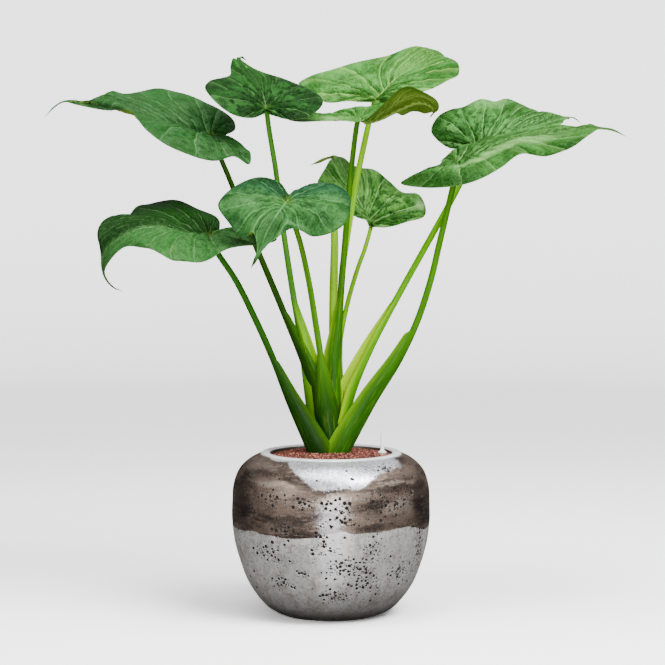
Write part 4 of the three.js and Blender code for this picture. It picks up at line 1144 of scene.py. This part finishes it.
# A painted highlight: a pale upright stripe down the front, where a lamp is reflected.
PAINTED_HIGHLIGHT = [(1, 200, 10, 22), (-2, 170, 6, 14), (1, 112, 8, 56)]
PITTED = [(-38, 126, 9, 18), (-13, 213, 10, 10), (-5, 150, 6, 26), (9, 193, 7, 15), (40, 210, 11, 14),
          (12, 102, 9, 15), (20, 76, 9, 14), (26, 134, 6, 20), (47, 90, 7, 16), (3, 52, 10, 10),
          (64, 132, 5, 34), (37, 265, 10, 4), (-38, 214, 8, 9), (-28, 166, 5, 7), (-33, 70, 10, 8),
          (-16, 94, 6, 5), (92, 110, 9, 26), (115, 190, 10, 16), (138, 80, 10, 18), (165, 140, 9, 20),
          (-170, 200, 10, 16), (-140, 120, 10, 20), (-105, 80, 10, 16), (-88, 180, 8, 18)]

PATCH_SEED = 11
print("named places on the planter:", len(WORN_LIGHT + DARK_PATINA_AND_SIDE_SHADE + PAINTED_HIGHLIGHT + PITTED))


# %% Write them on the planter
def patches(spots, angle, height):
    """How strongly a place lies in any of the soft oval spots, each an angle, a height and two sizes."""
    total = np.zeros_like(angle)
    for spot_angle, spot_height, wide, high in spots:
        away = (angle - spot_angle + 180) % 360 - 180
        total += np.exp(-((away / wide) ** 2) - ((height - spot_height) / high) ** 2)
    return np.clip(total, 0, 1)


def wrap_round(mesh, co):
    """A flat map of the wall in metres: round the planter at its widest, and up along the wall."""
    turn = np.arctan2(co[:, 0], -co[:, 1])
    inward = POT_RADIUS - np.hypot(co[:, 0], co[:, 1])
    up = co[:, 2] + inward * np.where(co[:, 2] > 0.55 * POT_HEIGHT, 0.8, -0.6)
    wrap = mesh.uv_layers.new(name="wrap")
    corner = np.array([loop.vertex_index for loop in mesh.loops])
    turned = turn[corner]
    for face in mesh.polygons:
        run = slice(face.loop_start, face.loop_start + face.loop_total)
        if turned[run].max() - turned[run].min() > math.pi:
            turned[run] = np.where(turned[run] < 0, turned[run] + 2 * math.pi, turned[run])
    flat = np.stack([turned * POT_RADIUS * MM, up[corner] * MM], 1)
    wrap.data.foreach_set("uv", flat.astype(np.float32).ravel())


def mark_planter(mesh):
    noise.seed_set(PATCH_SEED)  # without it, noise_vector would give other patches each time
    co = np.array([v.co for v in mesh.vertices]) / MM
    sway = np.array([noise.noise_vector(v.co * 22) for v in mesh.vertices])
    angle = np.degrees(np.arctan2(co[:, 0], -co[:, 1]))
    height, radius = co[:, 2], np.hypot(co[:, 0], co[:, 1])
    wrap_round(mesh, co)
    angle, even = angle + sway[:, 0] * 9, height
    height = height + sway[:, 2] * 7
    band_low = np.interp(angle - sway[:, 0] * 9, *zip(*BAND_EDGE)) + sway[:, 1] * 3
    wall = ((radius > RIM_RADIUS - 2) | (even < 40)) & (even > 1)
    values = {
        "bronze": smooth(-1.5, 2.5, even - band_low) * smooth(284, 272, height) * wall,
        "rubbed": smooth(-10, 6, height - np.interp(angle, *zip(*SILVER_EDGE))) * wall,
        "painted_highlight": patches(PAINTED_HIGHLIGHT, angle - sway[:, 0] * 6, height) * wall,
        "worn": patches(WORN_LIGHT, angle, height) * wall,
        "dark_patina_and_side_shade": patches(DARK_PATINA_AND_SIDE_SHADE, angle, height) * wall,
        "pitted": patches(PITTED, angle, height) * wall,
        # Where the ring's silver gets its painted reflection.
        "ring": smooth(RIM_RADIUS + 5, RIM_RADIUS + 1, radius) * smooth(276, 278, even),
        # The foot's darkening is painted shade, deeper towards the bottom where the wall turns under.
        "foot": (smooth(85, 5, even) * 0.6 + smooth(30, 12, even) * 0.2) * wall,
        "indoors": (radius < MOUTH_RADIUS + 1) * 1.0 * (height > POT_FLOOR - 1),
    }
    for name, value in values.items():
        mesh.attributes.new(name, "FLOAT", "POINT").data.foreach_set("value", value.astype(np.float32))


def uneven_wall(bm):
    """Hand work: the wall isn't quite round. Its foot and its rim stay true."""
    for vert in bm.verts:
        radius = math.hypot(vert.co.x, vert.co.y)
        if vert.co.z < 0.002 or radius < 0.121:
            continue
        swell = noise.noise(vert.co * 14) * 0.55 + noise.noise(vert.co * 38 + Vector((9, 0, 0))) * 0.3
        out = Vector((vert.co.x, vert.co.y, 0)) / radius
        vert.co += out * swell * MM


planter = spin_outline("planter_wall", planter_outline(), 216, twist=uneven_wall)
mark_planter(planter.data)
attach(planter, PLANT)
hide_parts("planter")
print(planter.name, len(planter.data.polygons), "faces")

# %% [markdown]
# Pits come from Voronoi cells: each cell has one point and a random number, and it holds a pit only where
# that number is below the local share of pits. So they cluster without two being alike. The same mask
# darkens the colour, roughens the surface and, as a height, sinks the shading.


# %% Pits
def build_pits():
    group, given, out = new_group(
        "casting_pits",
        [("Scale", "Float", 110.0), ("Share", "Float", 0.2), ("Size", "Float", 0.3)],
        [("Pit", "Float")],
    )
    coords = add_node(group, "UVMap", uv_map="wrap").outputs[0]
    shaken = add_node(group, "TexNoise", {"Vector": coords, "Scale": 300.0}).outputs[1]
    bent = add_node(group, "Mix", {0: 0.003, 4: coords, 5: shaken}, data_type="VECTOR").outputs[1]
    cells = add_node(group, "TexVoronoi", {"Vector": bent, "Scale": given.outputs["Scale"]},
                     voronoi_dimensions="2D")
    chance = add_node(group, "SeparateXYZ", {0: cells.outputs["Color"]})
    present = reckon(group, "LESS_THAN", chance.outputs[0], given.outputs["Share"])
    varied = reckon(group, "MULTIPLY_ADD", chance.outputs[1], 0.8, 0.5)
    size = reckon(group, "MULTIPLY", given.outputs["Size"], varied)
    depth = rise(group, reckon(group, "DIVIDE", cells.outputs["Distance"], size), 0.7, 1.0, 1.0, 0.0)
    group.links.new(reckon(group, "MULTIPLY", depth, present), out.inputs["Pit"])
    return group


PITS = build_pits()
print("pit group with", len(PITS.nodes), "nodes")


# %% Cast metal
def cast_metal():
    material, tree, shader = new_material("cast_metal", IOR=1.5)
    mark = {name: measure(tree, name) for name in
            ("bronze", "rubbed", "painted_highlight", "worn", "dark_patina_and_side_shade", "pitted", "ring", "foot", "indoors")}
    streaks = speckle(tree, 60.0, 4.0, 0.6, stretch=(1, 1, 0.08))
    smears = speckle(tree, 22.0, 5.0, 0.6, stretch=(0.5, 0.5, 2.0))
    brushed = speckle(tree, 120.0, 3.0, 0.6, stretch=(0.35, 0.35, 2.5))
    lines = speckle(tree, 240.0, 3.0, 0.6, stretch=(1, 1, 0.06))
    mottle = speckle(tree, 60.0, 6.0, 0.7)
    fine = speckle(tree, 420.0, 3.0, 0.7)
    grit = speckle(tree, 230.0, 5.0, 0.75)
    grey = tint(tree, rise(tree, mottle, 0.3, 0.62), paint(196, 190, 182), paint(244, 241, 236))
    grey = tint(tree, rise(tree, streaks, 0.44, 0.64, 0.0, 0.6), grey, paint(244, 243, 242))
    grey = tint(tree, rise(tree, lines, 0.5, 0.68, 0.0, 0.22), grey, paint(150, 145, 139))
    grey = tint(tree, rise(tree, grit, 0.52, 0.64, 0.0, 0.6), grey, paint(96, 89, 83))
    silver = tint(tree, rise(tree, lines, 0.42, 0.6), paint(205, 206, 214), paint(244, 246, 254))
    brown = tint(tree, rise(tree, smears, 0.36, 0.62), paint(62, 52, 46), paint(132, 113, 100))
    brown = tint(tree, rise(tree, brushed, 0.5, 0.68, 0.0, 0.35), brown, paint(176, 160, 147))
    brown = tint(tree, rise(tree, grit, 0.48, 0.62, 0.0, 0.75), brown, paint(38, 31, 28))

    def ragged(value, low, high, amount):
        """A mark with its soft edge broken up by smears and grit."""
        shaken = reckon(tree, "MULTIPLY_ADD", reckon(tree, "SUBTRACT", smears, 0.5), amount, value)
        shaken = reckon(tree, "MULTIPLY_ADD", reckon(tree, "SUBTRACT", grit, 0.5), 2.4 * amount, shaken)
        return rise(tree, shaken, low, high)

    colour = tint(tree, ragged(mark["bronze"], 0.38, 0.62, 0.25), grey, brown)
    # Dark patina with painted side shade, lighter worn metal, and a painted highlight down the front.
    for place, fraying, strength, tone in (
        ("dark_patina_and_side_shade", (0.2, 0.9, 1.1), 0.7, (40, 34, 31)),
        ("worn", (0.2, 0.9, 1.1), 0.6, (196, 180, 166)),
        ("painted_highlight", (0.2, 1.1, 0.8), 0.5, (222, 223, 230)),
    ):
        part = reckon(tree, "MULTIPLY", ragged(mark[place], *fraying), strength)
        colour = tint(tree, part, colour, paint(*tone))
    colour = tint(tree, ragged(mark["rubbed"], 0.2, 0.8, 0.85), colour, silver)
    # Painted shade darkens the foot, and the ring's near white is painted reflection on its silver.
    for place, tone in (("foot", (74, 69, 65)), ("ring", (250, 251, 255)), ("indoors", (112, 104, 98))):
        colour = tint(tree, mark[place], colour, paint(*tone))
    share = reckon(tree, "MULTIPLY_ADD", mark["pitted"], 1.1, 0.02)
    large = use_group(tree, PITS, Scale=125.0, Share=share, Size=0.4).outputs[0]
    fewer = reckon(tree, "MULTIPLY", share, 0.6)
    small = use_group(tree, PITS, Scale=260.0, Share=fewer, Size=0.38).outputs[0]
    off_ring = reckon(tree, "SUBTRACT", 1.0, mark["ring"])
    pit = reckon(tree, "MULTIPLY", reckon(tree, "MAXIMUM", large, small), off_ring)
    # A pit's near black is painted shade in its hollow.
    colour = tint(tree, pit, colour, paint(18, 15, 14))
    feed(tree, shader.inputs["Base Color"], colour)
    # Less metal where the ring's painted reflection and the painted highlight lie, so their pale colour
    # shows.
    dull = reckon(tree, "MULTIPLY_ADD", mark["ring"], -0.5, 0.72)
    dull = reckon(tree, "MULTIPLY_ADD", mark["painted_highlight"], -0.5, dull)
    feed(tree, shader.inputs["Metallic"], reckon(tree, "MULTIPLY", dull, reckon(tree, "SUBTRACT", 1.0, pit)))
    worn_rough = reckon(tree, "MULTIPLY_ADD", mark["rubbed"], -0.12, 0.38)
    rough = reckon(tree, "MULTIPLY_ADD", reckon(tree, "SUBTRACT", mottle, 0.5), 0.4, worn_rough)
    feed(tree, shader.inputs["Roughness"], reckon(tree, "MAXIMUM", rough, pit))
    height = reckon(tree, "MULTIPLY_ADD", fine, 0.35, reckon(tree, "MULTIPLY", mottle, 0.8))
    height = reckon(tree, "SUBTRACT", height, reckon(tree, "MULTIPLY", pit, 1.6))
    bump = add_node(tree, "Bump", {"Strength": 0.6, "Distance": 0.0016, "Height": height})
    feed(tree, shader.inputs["Normal"], bump.outputs[0])
    return material


planter.data.materials.append(cast_metal())
print("cast metal with", len(planter.data.materials[0].node_tree.nodes), "nodes")

# %% [markdown]
# ## Clay granulate
# Crushed fired clay: angular grains 2 to 4 mm across, in reds from dusty pink to dark brown. A turned body
# fills the planter, and thousands of low grains lie on it. Each is a small icosphere with its corners
# pushed about, and one mesh holds them all, because separate objects would cost far more than their faces.

# %% Fill the planter
HEAP, EDGE = 7, 104.1  # how far the middle stands above the edge, and the bed's radius
BED_DROP = 1.6  # how far the bed's own skin lies below the heap's level, under the grains
PLAY = 0.4  # the room left beside the planter's inner wall
random.seed(41)


def heap_height(x, y):
    return GRANULATE_LEVEL + HEAP * (1 - ((x * x + y * y) / EDGE**2) ** 2)


def rough_top(bm):
    for vert in bm.verts:
        x, y = vert.co.x / MM, vert.co.y / MM
        if vert.co.z / MM > 262 and math.hypot(x, y) < EDGE - 0.5:
            vert.co.z = (heap_height(x, y) - BED_DROP + noise.noise(vert.co * 160) * 1.2) * MM


wall = planter_side(POT_WALL + PLAY, 12)[1:-1]
crown = [(EDGE * (1 - i / 30), heap_height(EDGE * (1 - i / 30), 0) - BED_DROP) for i in range(31)]
bed_outline = [(0, POT_FLOOR + PLAY), (POT_FOOT_RADIUS - POT_WALL - PLAY, POT_FLOOR + PLAY), *wall,
               (EDGE, POT_HEIGHT - INNER_LIP_DEPTH - PLAY), *crown]
bed = spin_outline("granulate_bed", bed_outline, 120, twist=rough_top)
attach(bed, PLANT)
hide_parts("granulate")
print(bed.name, len(bed.data.polygons), "faces")


# %% Scatter the grains
def make_grains(count):
    bm = bmesh.new()
    tone = bm.verts.layers.float.new("tone")
    bmesh.ops.create_icosphere(bm, subdivisions=1, radius=1.0)
    corners = len(bm.verts)
    made = 1
    while made < count:
        bmesh.ops.duplicate(bm, geom=list(bm.verts) + list(bm.edges) + list(bm.faces))
        made *= 2
    bm.verts.ensure_lookup_table()
    spare = []
    for grain in range(made):
        verts = bm.verts[grain * corners : (grain + 1) * corners]
        if grain >= count:
            spare += verts
            continue
        out = EDGE * math.sqrt(random.random())
        turn = random.uniform(0, 2 * math.pi)
        size = random.choice((1.2, 1.4, 1.6, 1.8, 2.1))
        out = min(out, EDGE - size * 0.7)
        x, y = out * math.cos(turn), out * math.sin(turn)
        middle = Vector((x, y, heap_height(x, y) - 1.2 + random.uniform(0, 1.4)))
        tumble = random.uniform(0, 6.28)
        axis = Vector([random.gauss(0, 1) for _ in range(3)]).normalized()
        spin = Matrix.Rotation(tumble, 3, axis)
        stretch = Vector((random.uniform(0.8, 1.25), random.uniform(0.75, 1.1), random.uniform(0.6, 0.95)))
        shade = random.random()
        for vert in verts:
            knocked = Vector(c * s * random.uniform(0.72, 1.15) for c, s in zip(vert.co, stretch))
            vert.co = (middle + spin @ knocked * size) * MM
            vert[tone] = shade
    bmesh.ops.delete(bm, geom=spare, context="VERTS")
    grains = finished_piece(bm, "clay_grains")
    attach(grains, PLANT)
    return grains


def clay(name, dark, red, pink):
    material, tree, shader = new_material(name, Roughness=0.95)
    tone = measure(tree, "tone")
    base = tint(tree, rise(tree, tone, 0.0, 0.6), dark, red)
    base = tint(tree, rise(tree, tone, 0.6, 1.0), base, pink)
    dust = rise(tree, speckle(tree, 900.0, 3.0, 0.7), 0.45, 0.7, 0.0, 0.4)
    feed(tree, shader.inputs["Base Color"], tint(tree, dust, base, pink))
    bump = add_node(tree, "Bump", {"Strength": 0.5, "Distance": 0.0004, "Height": speckle(tree, 1600.0, 3.0)})
    feed(tree, shader.inputs["Normal"], bump.outputs[0])
    return material


# The bed's darker reds are painted shade in the gaps between the grains.
bed.data.materials.append(clay("clay_bed", paint(26, 12, 9), paint(40, 19, 14), paint(56, 29, 23)))
grains = make_grains(4200)
grains.data.materials.append(clay("clay_grain", paint(46, 17, 11), paint(108, 50, 37), paint(204, 130, 110)))
print(grains.name, len(grains.data.polygons), "faces")

# %% [markdown]
# ## The water gauge
# A clear plastic housing stands in the granulate with a float in it. Only its white foot cone and its neck
# show. It is turned like the planter, with a bore left for the float's rod, which keeps its place in the
# frame.

# %% Make the gauge
GAUGE = (88, -10)
gauge_outline = [(3.2, 30), (7.1, 30), (7.5, 30.6), (7.5, 279.6), (7.3, 280.2), (6.6, 280.8), (4.6, 282.2),
                 (3.4, 283.4), (2.8, 284.8), (2.7, 286), (2.7, 312.6), (2.4, 313.5), (1.7, 314), (0, 314),
                 (0, 312.8), (1.9, 312.4), (1.9, 278), (6, 275), (6, 31.6), (3.2, 31.6)]


def make_gauge():
    gauge = spin_outline("gauge_tube", [*gauge_outline, gauge_outline[0]], 48, centre=GAUGE)
    # The faint emission in the plastic's own colour is a painted glow; it is no lamp.
    material, tree, shader = new_material("clear_plastic", IOR=1.49, Transmission_Weight=0.05, Metallic=0.0,
                                          Emission_Strength=0.25)
    height = add_node(tree, "SeparateXYZ", {0: add_node(tree, "TexCoord").outputs["Object"]}).outputs[2]
    clouded = speckle(tree, 160.0, 3.0)
    base = tint(tree, rise(tree, clouded, 0.4, 0.65), paint(243, 243, 243), paint(253, 253, 255))
    base = tint(tree, rise(tree, height, 0.2790, 0.2802, 1.0, 0.0), base, paint(150, 120, 110))
    feed(tree, shader.inputs["Base Color"], base)
    feed(tree, shader.inputs["Emission Color"], base)
    feed(tree, shader.inputs["Roughness"], reckon(tree, "MULTIPLY_ADD", clouded, 0.25, 0.08))
    gauge.data.materials.append(material)
    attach(gauge, PLANT)
    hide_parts("gauge_housing")
    return gauge


gauge = make_gauge()
print(gauge.name, len(gauge.data.polygons), "faces")

# %% [markdown]
# ## Pieces that keep their frame shape
# The rootstock and the float are inside, where nobody looks, and their plain forms are right. They still
# get a finish of their own: fibrous brown-green for the corm, and red plastic with a faint moulding grain.


# %% Finish the hidden pieces
def plain_finish(name, light, dark, scale, stretch, **constants):
    material, tree, shader = new_material(name, **constants)
    grain = speckle(tree, scale, 4.0, 0.6, stretch=stretch)
    feed(tree, shader.inputs["Base Color"], tint(tree, rise(tree, grain, 0.38, 0.62), dark, light))
    bump = add_node(tree, "Bump", {"Strength": 0.4, "Distance": 0.0008, "Height": grain})
    feed(tree, shader.inputs["Normal"], bump.outputs[0])
    return material


def refinish(node, material):
    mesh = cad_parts[node].data
    mesh.materials.clear()
    mesh.materials.append(material)


refinish("rootstock", plain_finish("corm_fibre", paint(172, 162, 112), paint(96, 78, 48), 90.0,
                                   (1, 1, 0.2), Roughness=0.8))
refinish("gauge_float", plain_finish("float_red", paint(200, 60, 46), paint(178, 44, 34), 500.0,
                                     (1, 1, 1), Roughness=0.45))
print("hidden pieces finished")

# %% [markdown]
# ## Floor and light
# A studio sweep, pale and seamless, goes right round so that no side has an edge behind it. Photographers
# keep such a sweep white for the lens and hold black flags beside the object, so that glossy metal still
# has dark edges. Here the paper does both: a Light Path node makes it pale where it is looked at, greyer
# where it sends light back, and in reflections bright in front of the object and dark behind it. The key
# light stands high on the right, so the shadow falls to the left.


# %% Build the sweep
def make_sweep():
    floor_path = [(0, 0), (2, 0), (4.2, 0)]
    bend = [(4.2 + 2.2 * math.sin(a), 2.2 - 2.2 * math.cos(a)) for a in np.linspace(0.08, math.pi / 2, 22)]
    outline = [(r / MM, z / MM) for r, z in floor_path + bend + [(6.4, 3.6)]]
    sweep = spin_outline("sweep", outline, 96)
    material, tree, shader = new_material("sweep_paper", Roughness=0.9)
    coords = add_node(tree, "TexCoord").outputs["Object"]
    away = add_node(tree, "VectorMath", {0: coords}, operation="LENGTH").outputs[1]
    tone = reckon(tree, "MULTIPLY_ADD", speckle(tree, 3.0, 2.0), 0.1, rise(tree, away, 2.0, 6.8, 1.75, 3.6))
    paper = add_node(tree, "CombineColor", {0: tone, 1: tone, 2: tone}).outputs[0]
    rays = add_node(tree, "LightPath")
    depth = add_node(tree, "SeparateXYZ", {0: coords}).outputs[1]
    board = rise(tree, depth, -5.0, -0.5, 1.55, 0.02)
    mirrored = add_node(tree, "CombineColor", {0: board, 1: board, 2: board}).outputs[0]
    unseen = tint(tree, rays.outputs["Is Glossy Ray"], (0.4, 0.4, 0.4, 1), mirrored)
    feed(tree, shader.inputs["Base Color"], tint(tree, rays.outputs["Is Camera Ray"], unseen, paper))
    sweep.data.materials.append(material)
    return sweep


sweep = make_sweep()
print("sweep faces:", len(sweep.data.polygons))


# %% Set the lights
def soft_light(name, place, target, size, power, colour=(1, 1, 1)):
    data = bpy.data.lights.new(name, "AREA")
    data.shape = "RECTANGLE"
    data.size, data.size_y = size
    data.energy = power
    data.color = colour
    light = bpy.data.objects.new(name, data)
    light.location = place
    light.rotation_euler = (Vector(target) - Vector(place)).to_track_quat("-Z", "Y").to_euler()
    bpy.context.scene.collection.objects.link(light)
    return light


soft_light("key_light", (1.7, -1.5, 3.1), (0, 0, 0.4), (1.9, 1.9), 205)
soft_light("fill_light", (-2.6, -2.4, 1.5), (0, 0, 0.5), (1.4, 1.8), 44)
soft_light("strip_light", (0.12, -2.6, 0.35), (0, 0, 0.16), (0.2, 1.0), 40)
soft_light("top_light", (-0.3, -0.4, 3.4), (0, 0, 0.5), (1.6, 1.6), 85)
world = bpy.data.worlds.new("studio")
world.use_nodes = True
world.node_tree.nodes["Background"].inputs["Color"].default_value = (1, 1, 1, 1)
world.node_tree.nodes["Background"].inputs["Strength"].default_value = 0.56
bpy.context.scene.world = world
